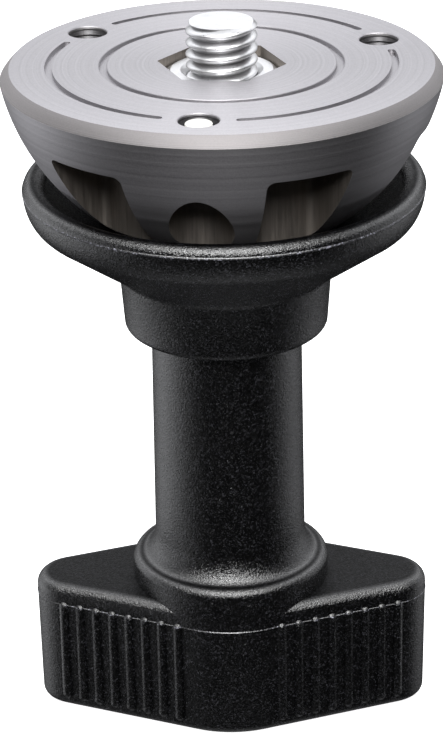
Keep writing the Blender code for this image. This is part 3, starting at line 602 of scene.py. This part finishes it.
def sphere_arc(radius, start_height, end_height, count):
    """Points down the lower half of a sphere about the ball's centre."""
    centre = ball_centre()
    start, end = (asin((height - centre) / radius) for height in (start_height, end_height))
    return arc((0, centre), radius, start, end, count)


def rim_radius():
    size = settings().ball
    return sqrt(size.radius ** 2 - (size.centre_rise + size.rim_drop) ** 2)


def round_end(radius, width, middle, turn):
    """Points round the end of a curved slot."""
    x, y = around(radius, middle)
    sides = [around(width / 2, middle + turn + pi * step / 6) for step in range(1, 6)]
    return [(x + side_x, y + side_y) for side_x, side_y in sides]


def band(radius, width, start, end):
    """Outline of a curved slot with round ends."""
    outer = [around(radius + width / 2, angle) for angle in spread(start, end, 40)]
    inner = [around(radius - width / 2, angle) for angle in spread(end, start, 40)]
    return outer + round_end(radius, width, end, 0.0) + inner + round_end(radius, width, start, pi)


def screw_station(place, angle):
    """Tools for one set screw's tapped hole, key pocket, groove arc and the two pockets beside it."""
    size = settings().ball
    circle = rim_radius() - size.screw_inset
    roof = PLATE - size.roof_drop
    hole = settings().stud.screw_radius + GAP
    pitch = settings().stud.screw_pitch
    lip, edge = 0.12 * MM, 0.6 * MM
    # The tapped hole: a countersunk lip, then lands with a groove of 0.3 pitches between them
    tap_outline = [(0, PLATE + lip), (hole + 2 * lip, PLATE + lip), (hole, PLATE - lip)]
    for turn in range(int((PLATE - lip - roof) / pitch)):
        top = PLATE - lip - turn * pitch
        tap_outline += [(hole, top - 0.3 * pitch), (hole + 0.3 * pitch, top - 0.65 * pitch)]
    tap_outline += [(hole, roof + 0.1 * pitch), (hole, roof - GAP), (0, roof - GAP)]
    tools = [turned("tap_" + place, tap_outline, 48, around(circle, angle))]
    shaft = [(0, roof), *arc((size.key_radius - edge, roof - edge), edge, pi / 2, 0, 4),
             (size.key_radius, BALL_BOTTOM - GAP), (0, BALL_BOTTOM - GAP)]
    tools.append(turned("key_" + place, shaft, 64, around(circle - size.key_inset, angle)))
    stop = 2 * asin(size.groove_stop / 2 / circle)
    groove = band(circle, size.groove_width, angle + stop, angle + 2 * pi / 3 - stop)
    tools.append(prism("groove_" + place, groove, PLATE - size.groove_depth, PLATE + GAP))
    for side, sign in (("a", -1), ("b", 1)):
        near = angle + POCKET_CLOCK + sign * POCKET_NEAR
        far = angle + POCKET_CLOCK + sign * POCKET_FAR
        outline = [around(size.radius + GAP, turn) for turn in spread(near, far, 8)]
        outline += [around(circle - size.pocket_inset, turn) for turn in spread(far, near, 8)]
        tools.append(prism(f"pocket_{place}_{side}", outline, BALL_BOTTOM - GAP, roof, size.pocket_fillet))
    return tools


class HALFBALL_OT_half_ball(bpy.types.Operator):
    """Turned aluminium ball with its grooves, tapped holes and pockets"""
    bl_idname = "half_ball.half_ball"
    bl_label = "Half Ball"

    def execute(self, context):
        size = settings().ball
        soft, floor = 0.08 * MM, PLATE - size.groove_depth
        inner, outer = size.inner_groove - size.groove_width / 2, size.inner_groove + size.groove_width / 2
        outline = [(inner - soft, PLATE), (inner, PLATE - soft), (inner, floor),
                   (outer, floor), (outer, PLATE - soft), (outer + soft, PLATE)]
        outline += self.bevel(size)
        outline += sphere_arc(size.radius, PLATE - size.rim_drop, BALL_BOTTOM, 36)[1:]
        bore = settings().stud.radius + GAP
        outline += [(bore, BALL_BOTTOM), (bore, PLATE)]
        ball = turned("half_ball_turned", outline, BALL_STEPS)
        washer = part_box("lock_washer")
        tools = [
            hexagon("top_pocket", size.nut_pocket, TOP_NUT_BOTTOM - GAP, PLATE + GAP),
            hexagon("lower_pocket", size.nut_pocket, BALL_BOTTOM - GAP, washer[0].z),
            bar("washer_pocket", washer[1].x + GAP, washer[0].z - GAP, washer[1].z + GAP, 64),
        ]
        for place, angle in SCREW_PLACES.items():
            tools += screw_station(place, angle)
        carve(ball, tools)
        turn_mesh(ball, BALL_CLOCK)
        dress(ball, "half_ball", "anodised_aluminium", "half_ball")
        # Cut faces lie inside the skin: the nut's pocket within nut_side, holes and pockets beyond screw_side
        skin = size.radius - 0.4 * MM
        nut_side, screw_side, rim_side = 9.2 * MM, 9.5 * MM, rim_radius() - 3 * MM
        refinish(ball, "blasted_aluminium", lambda face: lies(
            face, inner=rim_radius() - size.rim_inset, bottom=PLATE - size.rim_drop, top=PLATE))
        refinish(ball, "milled_aluminium", lambda face: off_centre(face) < skin and (
            lies(face, inner=screw_side, top=PLATE - 6.5 * MM) or lies(face, outer=nut_side, top=PLATE - 0.01 * MM)))
        # Painted shade: the walls of the tapped holes take a much darker grey
        refinish(ball, "tapped_aluminium", lambda face: lies(
            face, screw_side, rim_side, PLATE - size.roof_drop, PLATE - size.groove_depth - 0.05 * MM))
        return {"FINISHED"}

    def bevel(self, size):
        """Points down the swelled bevel, its upper corner softened."""
        width, drop, swell = size.rim_inset, size.rim_drop, size.rim_swell
        flat, run = rim_radius() - width, sqrt(width ** 2 + drop ** 2)
        out = (drop / run, width / run)
        points = [(flat - 0.2 * MM, PLATE)]
        for share in spread(0, 1, 12):
            rise = 4 * swell * share * (1 - share)
            points.append((flat + width * share + rise * out[0], PLATE - drop * share + rise * out[1]))
        points[1] = (flat + 0.04 * MM, PLATE - 0.035 * MM)
        return points


# Threads and nuts

def thread_core(radius, core, pitch, bottom, top, steps, start):
    """A right-hand thread as a closed solid, a turn or more longer than needed at both ends."""
    # One turn's profile: share of the pitch, and share of the thread's depth
    shares = ((0.0, 0.0), (0.06, 0.2), (0.2, 0.62), (0.34, 0.93), (0.4, 1.0), (0.52, 1.0), (0.58, 0.93),
              (0.72, 0.62), (0.86, 0.2), (0.92, 0.0))
    cage = bmesh.new()
    turns = ceil((top - bottom) / pitch) + 3
    rows = []
    for index in range(turns * steps + 1):
        angle = 2 * pi * index / steps
        row = []
        for share, height in shares:
            reach = core + (radius - core) * height
            rise = index / steps + share - 2 + start
            row.append(cage.verts.new((*around(reach, angle), bottom + pitch * rise)))
        rows.append(row)
    for index in range(turns * steps):
        lower, after = rows[index], rows[index + 1]
        for near in range(len(shares) - 1):
            cage.faces.new((lower[near], after[near], after[near + 1], lower[near + 1]))
        if index + steps + 1 < len(rows):
            above, above_after = rows[index + steps], rows[index + steps + 1]
            cage.faces.new((lower[-1], after[-1], above_after[0], above[0]))
    foot = cage.verts.new((0, 0, bottom - 3 * pitch))
    head = cage.verts.new((0, 0, rows[-1][0].co.z + 2 * pitch))
    for edge in [edge for edge in cage.edges if edge.is_boundary]:
        middle = (edge.verts[0].co.z + edge.verts[1].co.z) / 2
        cage.faces.new((*edge.verts, foot if middle < (bottom + top) / 2 else head))
    return new_object("thread", cage)


def threaded_rod(name, radius, core, pitch, bottom, top, chamfer, steps, hollows, centre=(0.0, 0.0), start=0.0):
    """A rod with a right-hand thread from end to end. hollows are the tools that are cut in afterwards."""
    rod = thread_core(radius, core, pitch, bottom, top, steps, start)
    outer, face = radius + HAIR, radius - chamfer
    blank = turned(name, [(0, top), (face, top), (outer, top - chamfer - HAIR), (outer, bottom + chamfer + HAIR),
                          (face, bottom), (0, bottom)], 96)
    carve(rod, [blank], "INTERSECT")
    rod.name = name
    rod.data.transform(Matrix.Translation((*centre, 0)))
    carve(rod, hollows)
    return rod


def nut(name, across_flats, bore, bottom, top, chamfer):
    """Hexagon nut: turned chamfers on both faces and a countersunk bore."""
    flat = across_flats / 2
    corner = flat / cos(pi / 6) + GAP
    drop = (corner - flat) * tan(radians(30)) + chamfer / 4
    face, mouth = flat - chamfer / 2, bore + chamfer + GAP
    outline = [(0, top), (face, top), (corner, top - drop), (corner, bottom + drop), (face, bottom), (0, bottom)]
    piece = hexagon(name, across_flats, bottom, top)
    carve(piece, [turned("nut_chamfer", outline, WASHER_STEPS)], "INTERSECT")
    sink = [(0, top + GAP), (mouth, top + GAP), (bore, top - chamfer), (bore, bottom + chamfer),
            (mouth, bottom - GAP), (0, bottom - GAP)]
    carve(piece, [turned("nut_bore", sink, 72)])
    return piece


class HALFBALL_OT_stud(bpy.types.Operator):
    """Threaded stud, with its thread cut from end to end"""
    bl_idname = "half_ball.stud"
    bl_label = "Clamp Stud"

    def execute(self, context):
        size = settings().stud
        tap_radius, tap_depth = 2.4 * MM, 8.6 * MM
        hollow = bar("stud_tap", tap_radius, STUD_BOTTOM - GAP, STUD_BOTTOM + tap_depth, 32)
        start = 0.394  # turns, which decide where the top crest runs out
        stud = threaded_rod("clamp_stud_threaded", size.radius, size.core, size.pitch, STUD_BOTTOM, STUD_TOP,
                            size.chamfer, 48, [hollow], start=start)
        dress(stud, "half_ball", "plated_steel", "clamp_stud", sharpest=THREAD_CREASE)
        # Painted shade: the thread's slopes darken towards the roots
        refinish(stud, "plated_thread", lambda face: face.normal.z < 0.98)
        return {"FINISHED"}


class HALFBALL_OT_nuts(bpy.types.Operator):
    """Nut in the top pocket and jam nut underneath"""
    bl_idname = "half_ball.nuts"
    bl_label = "Nuts"

    def execute(self, context):
        size = settings().stud
        for node in ("top_nut", "lower_nut"):
            bottom, top = (corner.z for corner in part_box(node))
            piece = nut(node + "_fine", size.nut_flats, size.radius + HAIR, bottom, top, 0.7 * MM)
            turn_mesh(piece, BALL_CLOCK)
            dress(piece, "half_ball", "plated_steel", node)
        return {"FINISHED"}


class HALFBALL_OT_set_screws(bpy.types.Operator):
    """Set screws with key sockets, and their nylon tips"""
    bl_idname = "half_ball.set_screws"
    bl_label = "Set Screws"

    def execute(self, context):
        size = settings().stud
        for place, angle in SCREW_PLACES.items():
            spot = around(rim_radius() - settings().ball.screw_inset, angle + BALL_CLOCK)
            bottom, top = (corner.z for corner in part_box("set_screw_" + place))
            tip_bottom, tip_top = (corner.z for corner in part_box("screw_tip_" + place))
            key_flats, key_depth = 2.5 * MM, 2.6 * MM
            socket = hexagon("socket", key_flats, bottom - GAP, bottom + key_depth)
            socket.data.transform(Matrix.Translation((*spot, 0)))
            seat = bar("seat", 1.2 * MM, top - 2 * MM, top + GAP, 32, spot)
            core, chamfer = size.screw_radius - 0.45 * MM, 0.35 * MM
            screw = threaded_rod("set_screw_" + place + "_threaded", size.screw_radius, core, size.screw_pitch,
                                 bottom, top, chamfer, 32, [socket, seat], spot)
            dress(screw, "screw_" + place, "spring_steel", "set_screw_" + place, sharpest=THREAD_CREASE)
            shoulder, peg, edge = tip_top - 1.1 * MM, 0.9 * MM, 0.22 * MM
            outline = [(0, tip_top), *arc((size.tip_radius - edge, tip_top - edge), edge, pi / 2, 0, 4),
                       (size.tip_radius, shoulder), (peg, shoulder), (peg, tip_bottom), (0, tip_bottom)]
            tip = turned("screw_tip_" + place + "_turned", outline, 48, spot)
            dress(tip, "tip_" + place, "white_nylon", "screw_tip_" + place)
        return {"FINISHED"}


# Clamp cup

class HALFBALL_OT_cup(bpy.types.Operator):
    """Moulded clamp cup"""
    bl_idname = "half_ball.cup"
    bl_label = "Clamp Cup"

    def execute(self, context):
        size = settings().cup
        seat_radius = settings().ball.radius + size.seat_play
        parting = PLATE - size.rim_drop
        mouth = sqrt(seat_radius ** 2 - (ball_centre() - parting) ** 2)
        rim = mouth + size.rim_wall
        bead = (rim - size.bead, parting)
        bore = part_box("bearing_washer")[1].x + GAP
        collar = bore + size.collar_wall
        shoulder = BEARING_TOP + GAP
        floor = BALL_BOTTOM - GAP
        collar_top = shoulder - size.cone_foot
        sweep = 2 * size.wall_tuck
        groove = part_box("cup_retaining_ring")[1].x + GAP
        hole, flash, soft = 6.2 * MM, 0.09 * MM, 0.5 * MM
        outline = arc(bead, size.bead, pi / 2, radians(6), 14)
        outline += [(rim + flash, parting + 0.02 * MM), (rim + flash, parting - 0.02 * MM)]
        outline += arc((rim - sweep, parting), sweep, -radians(2), -pi / 3, 12, size.wall_height / sin(pi / 3))
        outline += [(collar + soft, collar_top + soft), (collar + 0.3 * soft, collar_top + 0.25 * soft),
                    (collar, collar_top - 0.6 * soft)]
        low = collar - size.collar_taper - size.collar_edge
        outline += arc((low, COLLAR_BOTTOM + size.collar_edge), size.collar_edge, 0, -pi / 2, 6)
        outline += [
            (bore, COLLAR_BOTTOM), (bore, RING_BOTTOM - GAP), (groove, RING_BOTTOM - GAP), (groove, RING_TOP + GAP),
            (bore, RING_TOP + GAP), (bore, shoulder), (hole, shoulder), (hole, floor),
        ]
        outline += sphere_arc(seat_radius, floor, parting, 16)
        outline += arc(bead, bead[0] - mouth, pi, pi / 2, 10, size.bead)[1:-1]
        cup = turned("clamp_cup_moulded", outline, MOULDING_STEPS)
        dress(cup, "cup", "black_nylon", "clamp_cup")
        # Painted highlight: the flash round the rim takes the lighter flash colour
        refinish(cup, "flash_nylon", lambda face: lies(face, inner=rim + 0.01 * MM))
        refinish(cup, "coarse_nylon", lambda face: off_centre(face) < seat_radius + 0.1 * MM
                 and face.center.z < parting)
        return {"FINISHED"}


# Wing knob

def wing_angle():
    size = settings().knob
    return asin((size.hub_radius - size.tip_radius) / size.reach)


def wing_ring(height, inset):
    """The knob's outline at a height: the hub's circle and two round ends with straight faces between."""
    size = settings().knob
    slant = wing_angle()
    ring = []
    for centre, turn in ((size.reach, 0), (-size.reach, pi)):
        for angle in spread(turn - pi / 2 + slant, turn + pi / 2 - slant, 28):
            x, y = around(size.tip_radius - inset, angle)
            ring.append((centre + x, y, height))
        for angle in spread(turn + pi / 2 - slant, turn + pi / 2 + slant, 16):
            ring.append((*around(size.hub_radius - inset, angle), height))
    return ring


def wing_levels():
    """Height and inset of the knob's outline, from its rounded base over the parting line to its rounded top."""
    size = settings().knob
    draft, flash = 0.014, 0.07 * MM
    levels = []
    for angle in spread(0, pi / 2, 6):
        height, inset = size.base_edge * (1 - cos(angle)), size.base_edge * (1 - sin(angle))
        levels.append((height, inset + draft * (size.parting - height)))
    levels += [(size.parting - flash, draft * flash), (size.parting, -flash), (size.parting + flash, 0.0)]
    corner = size.wing_height - size.bevel
    for angle in spread(0, pi / 2, 8):
        levels.append((corner + size.bevel * sin(angle), size.bevel * (1 - cos(angle))))
    return levels


def grip_ribs():
    """Round-ended ribs on all four faces."""
    size = settings().knob
    slant = wing_angle()
    top, bottom, radius = size.parting + 0.5 * MM, 1.4 * MM, size.rib_radius
    first = 2.5 * MM  # along the face, from the hub
    ribs = []
    for index in range(size.rib_count):
        out, along = size.hub_radius + size.rib_proud - radius, first + index * size.rib_pitch
        x, y = sin(slant) * out + cos(slant) * along, sin(slant) * along - cos(slant) * out
        for x_side, y_side in QUARTERS:
            outline = arc((0, top - radius), radius, pi / 2, 0, 6)
            outline += arc((0, bottom + radius), radius, 0, -pi / 2, 6)
            outline[0], outline[-1] = (0, top), (0, bottom)
            ribs.append(turned("rib", outline, 20, (x * x_side, y * y_side)))
    cage = bmesh.new()
    for rib in ribs:
        cage.from_mesh(rib.data)
        bpy.data.objects.remove(rib)
    return new_object("grip_ribs", cage)


def core_tools():
    """Tools for the four hollows under the wings."""
    size = settings().knob
    slant = wing_angle()
    wall, web, boss, end, depth = size.hub_radius - 2.6 * MM, 0.9 * MM, 11.6 * MM, 2.2 * MM, 12 * MM
    low, high = asin(web / boss), pi / 2 - slant - acos((wall - end) / boss)
    boss_x, boss_y = around(boss, high)
    outline = [(boss_x + sin(slant) * end, boss_y + cos(slant) * end)]
    outline += [around(boss, angle) for angle in spread(high, low, 8)]
    tip = (wall - cos(slant) * (web + end)) / sin(slant)
    outline += [(tip, web), (tip, web + end)]
    tools = []
    for x_side, y_side in QUARTERS:
        mirrored = [(x * x_side, y * y_side) for x, y in outline]
        if x_side * y_side < 0:
            mirrored.reverse()
        tools.append(prism("core", mirrored, -GAP, depth))
    return tools


class HALFBALL_OT_knob(bpy.types.Operator):
    """Moulded wing knob: tube, hub and ribbed wings"""
    bl_idname = "half_ball.knob"
    bl_label = "Wing Knob"

    def execute(self, context):
        size = settings().knob
        hub = size.hub_radius + size.hub_lip
        foot = hub - size.hub_edge
        hub_top = size.wing_height + size.hub_rise
        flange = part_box("thrust_washer")[1].x
        flange_bottom, edge = RING_TOP + GAP, 0.3 * MM
        outline = [(0, HANDLE_TOP), (flange - edge, HANDLE_TOP), (flange, HANDLE_TOP - edge), (flange, flange_bottom),
                   (size.tube_top, flange_bottom)]
        outline += arc((foot, hub_top + size.foot_rise), foot - size.tube_base, pi, 3 * pi / 2, 18, size.foot_rise)
        outline += arc((foot, hub_top - size.hub_edge), size.hub_edge, pi / 2, 0, 10)[1:]
        flash, step = 0.08 * MM, size.parting - 0.15 * MM
        outline += [(hub, size.parting + 0.12 * MM), (hub + flash, size.parting), (hub, size.parting - 0.05 * MM),
                    (hub, step), (0, step)]
        knob = turned("wing_knob_moulded", outline, MOULDING_STEPS)
        wings = lofted("wings", [wing_ring(height, inset) for height, inset in wing_levels()])
        carve(wings, [grip_ribs()], "UNION")
        carve(knob, [wings], "UNION")
        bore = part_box("threaded_insert")[1].x + GAP
        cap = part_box("end_cap")[1].x + GAP
        seat = CAP_BOTTOM + 1.8 * MM  # the cap's shoulder rests here
        drill = turned("handle_bore", [(0, HANDLE_TOP + GAP), (bore, HANDLE_TOP + GAP), (bore, seat), (cap, seat),
                                       (cap, -GAP), (0, -GAP)], WASHER_STEPS)
        carve(knob, core_tools() + [drill])
        dress(knob, "knob", "black_nylon", "wing_knob")
        # Painted highlight: the flash's upward slope at the parting line takes the lighter flash colour
        refinish(knob, "flash_nylon", lambda face: abs(face.center.z - size.parting) < flash
                 and 0.2 < face.normal.z < 0.95)
        return {"FINISHED"}


# Pieces shown by their own solids
PLAIN_PIECES = {
    "lock_washer": "spring_steel", "cup_retaining_ring": "spring_steel", "thrust_washer": "plated_steel",
    "bearing_washer": "white_nylon", "threaded_insert": "brass", "stop_washer": "plated_steel",
    "stop_screw": "plated_steel",
}


class HALFBALL_OT_inner_pieces(bpy.types.Operator):
    """Cap, insert, washers and stop inside the handle"""
    bl_idname = "half_ball.inner_pieces"
    bl_label = "Inner Pieces"

    def execute(self, context):
        bottom, top = (corner.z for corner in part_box("end_cap"))
        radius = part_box("end_cap")[1].x
        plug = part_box("threaded_insert")[1].x
        disc, inner, edge = bottom + 1.5 * MM, plug - 1.4 * MM, 0.35 * MM
        outline = [(0, disc), (inner, disc), (inner, top), (plug, top), (plug, disc), (radius, disc)]
        outline += arc((radius - edge, bottom + edge), edge, 0, -pi / 2, 4)
        outline.append((0, bottom))
        cap = turned("end_cap_moulded", outline, WASHER_STEPS)
        dress(cap, "knob", "black_nylon", "end_cap")
        for node, slot in PLAIN_PIECES.items():
            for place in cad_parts[node].material_slots:
                place.material = finish(slot)
        return {"FINISHED"}


# Studio

def soft_box(name, place, aim, size, power):
    """A rectangular light aimed at a point."""
    lamp = bpy.data.lights.new(name, "AREA")
    lamp.shape = "RECTANGLE"
    lamp.size, lamp.size_y = size
    lamp.energy = power
    light = bpy.data.objects.new(name, lamp)
    bpy.context.scene.collection.objects.link(light)
    light.location = place
    light.rotation_euler = (Vector(aim) - Vector(place)).to_track_quat("-Z", "Y").to_euler()
    light.visible_camera = False


def studio_walls(studio):
    """A dim room with pale screens beside and behind the object, dark towards the camera."""
    world = bpy.data.worlds.new("studio_room")
    world.use_nodes = True
    backdrop = world.node_tree.nodes["Background"]
    split = parts(add_node(backdrop, "ShaderNodeTexCoord").outputs["Generated"])

    def product(first, second):
        return combined("MULTIPLY", first, second)

    def slope(axis, low, high, dark=0.0, light=1.0):
        return ramp(split[axis], low, high, dark, light)

    height = product(slope("Z", -0.75, -0.4), slope("Z", -0.05, 0.3, 1.0, 0.15))
    screens = [
        product(slope("X", -0.4, -0.9, light=studio.left), product(slope("Y", -0.55, 0.4), height)),
        product(slope("X", 0.4, 0.9, light=studio.right), product(slope("Y", 0.0, 0.35), height)),
        product(slope("Z", -0.05, 0.45, light=studio.back), slope("Y", 0.1, 0.7)),
        product(slope("Z", 0.45, 0.8, light=studio.back_top), slope("Y", 0.0, 0.3)),
        slope("Z", -0.8, -0.97, light=studio.below),
    ]
    total = add_node(backdrop, "ShaderNodeMath", {"input_0": screens[0]}, operation="ADD",
                     input_1=studio.room).outputs[0]
    for screen in screens[1:]:
        total = combined("ADD", total, screen)
    backdrop.inputs["Color"].default_value = (0.96, 0.97, 1.0, 1.0)
    plug(backdrop, "Strength", total)
    return world


LIGHTS = (("key", 39, (0.32, 0.26)), ("fill", 66, (1.2, 0.5)))  # degrees up, and the size in metres
LIGHT_DISTANCE = 0.9
CAMERA_PLACE = (10.4 * MM, -377.35 * MM, 220.2 * MM)
CAMERA_PITCH, CAMERA_YAW, CAMERA_ROLL = radians(24.17), radians(1.7), radians(-1.1)
FOCAL_PIXELS, PICTURE_HEIGHT = 3000, 735
SENSOR = 36.0


class HALFBALL_OT_studio(bpy.types.Operator):
    """Pale floor, soft lights and the camera"""
    bl_idname = "half_ball.studio"
    bl_label = "Studio"

    def execute(self, context):
        studio = settings().studio
        scene = context.scene
        half, thickness = 4.0, 0.02
        corners = [(-half, -half), (half, -half), (half, half), (-half, half)]
        floor = prism("studio_floor", corners, -thickness, 0.0)
        paper, shader, place = start_material("white paper, matt")
        fibre = noise(place, 2.5 * MM, 3.0)
        paint(shader, tuple(settings().finishes.floor), ramp(fibre, *NOISE, 0.99, 1.0))
        shader.inputs["Roughness"].default_value = 0.9
        shader.inputs["Emission Color"].default_value = (1.0, 1.0, 1.0, 1.0)
        shader.inputs["Emission Strength"].default_value = studio.table
        floor.data.materials.append(paper)
        floor.visible_glossy = False
        middle = 60 * MM
        for name, degrees_up, size in LIGHTS:
            forward, up = around(LIGHT_DISTANCE, radians(degrees_up))
            soft_box(name, (0, -forward, middle + up), (0, 0, middle), size, getattr(studio, name))
        scene.world = studio_walls(studio)
        scene.view_settings.view_transform = "Standard"
        lens = bpy.data.cameras.new("studio_camera")
        lens.sensor_width = SENSOR
        lens.lens = FOCAL_PIXELS / PICTURE_HEIGHT * SENSOR
        lens.clip_start, lens.clip_end = 0.01, 50.0
        camera = bpy.data.objects.new("studio_camera", lens)
        scene.collection.objects.link(camera)
        turn = (Matrix.Rotation(CAMERA_YAW, 4, "Z") @ Matrix.Rotation(pi / 2 - CAMERA_PITCH, 4, "X")
                @ Matrix.Rotation(CAMERA_ROLL, 4, "Z"))
        camera.matrix_world = Matrix.Translation(CAMERA_PLACE) @ turn
        scene.camera = camera
        return {"FINISHED"}


PIECES = (HALFBALL_OT_half_ball, HALFBALL_OT_stud, HALFBALL_OT_nuts, HALFBALL_OT_set_screws, HALFBALL_OT_cup,
          HALFBALL_OT_knob, HALFBALL_OT_inner_pieces, HALFBALL_OT_studio)


class HALFBALL_PT_panel(bpy.types.Panel):
    """Lists the adapter's pieces and its settings"""
    bl_idname = "HALFBALL_PT_panel"
    bl_label = "Half Ball Adapter"
    bl_space_type = "VIEW_3D"
    bl_region_type = "UI"
    bl_category = "Half Ball"

    def draw(self, context):
        for piece in PIECES:
            self.layout.operator(piece.bl_idname)
        for group in AdapterSettings.__annotations__:
            box = self.layout.box()
            held = getattr(context.scene.half_ball_adapter, group)
            for name in held.__annotations__:
                box.prop(held, name)


CLASSES = (BallSizes, StudSizes, CupSizes, KnobSizes, Finishes, StudioSettings, AdapterSettings, *PIECES,
           HALFBALL_PT_panel)


def register():
    for made in CLASSES:
        bpy.utils.register_class(made)
    bpy.types.Scene.half_ball_adapter = bpy.props.PointerProperty(type=AdapterSettings)


def unregister():
    del bpy.types.Scene.half_ball_adapter
    for made in reversed(CLASSES):
        bpy.utils.unregister_class(made)


def main():
    register()
    bpy.ops.half_ball.studio()
    bpy.ops.half_ball.half_ball()
    bpy.ops.half_ball.stud()
    bpy.ops.half_ball.nuts()
    bpy.ops.half_ball.set_screws()
    bpy.ops.half_ball.cup()
    bpy.ops.half_ball.knob()
    bpy.ops.half_ball.inner_pieces()


if __name__ == "__main__":
    main()
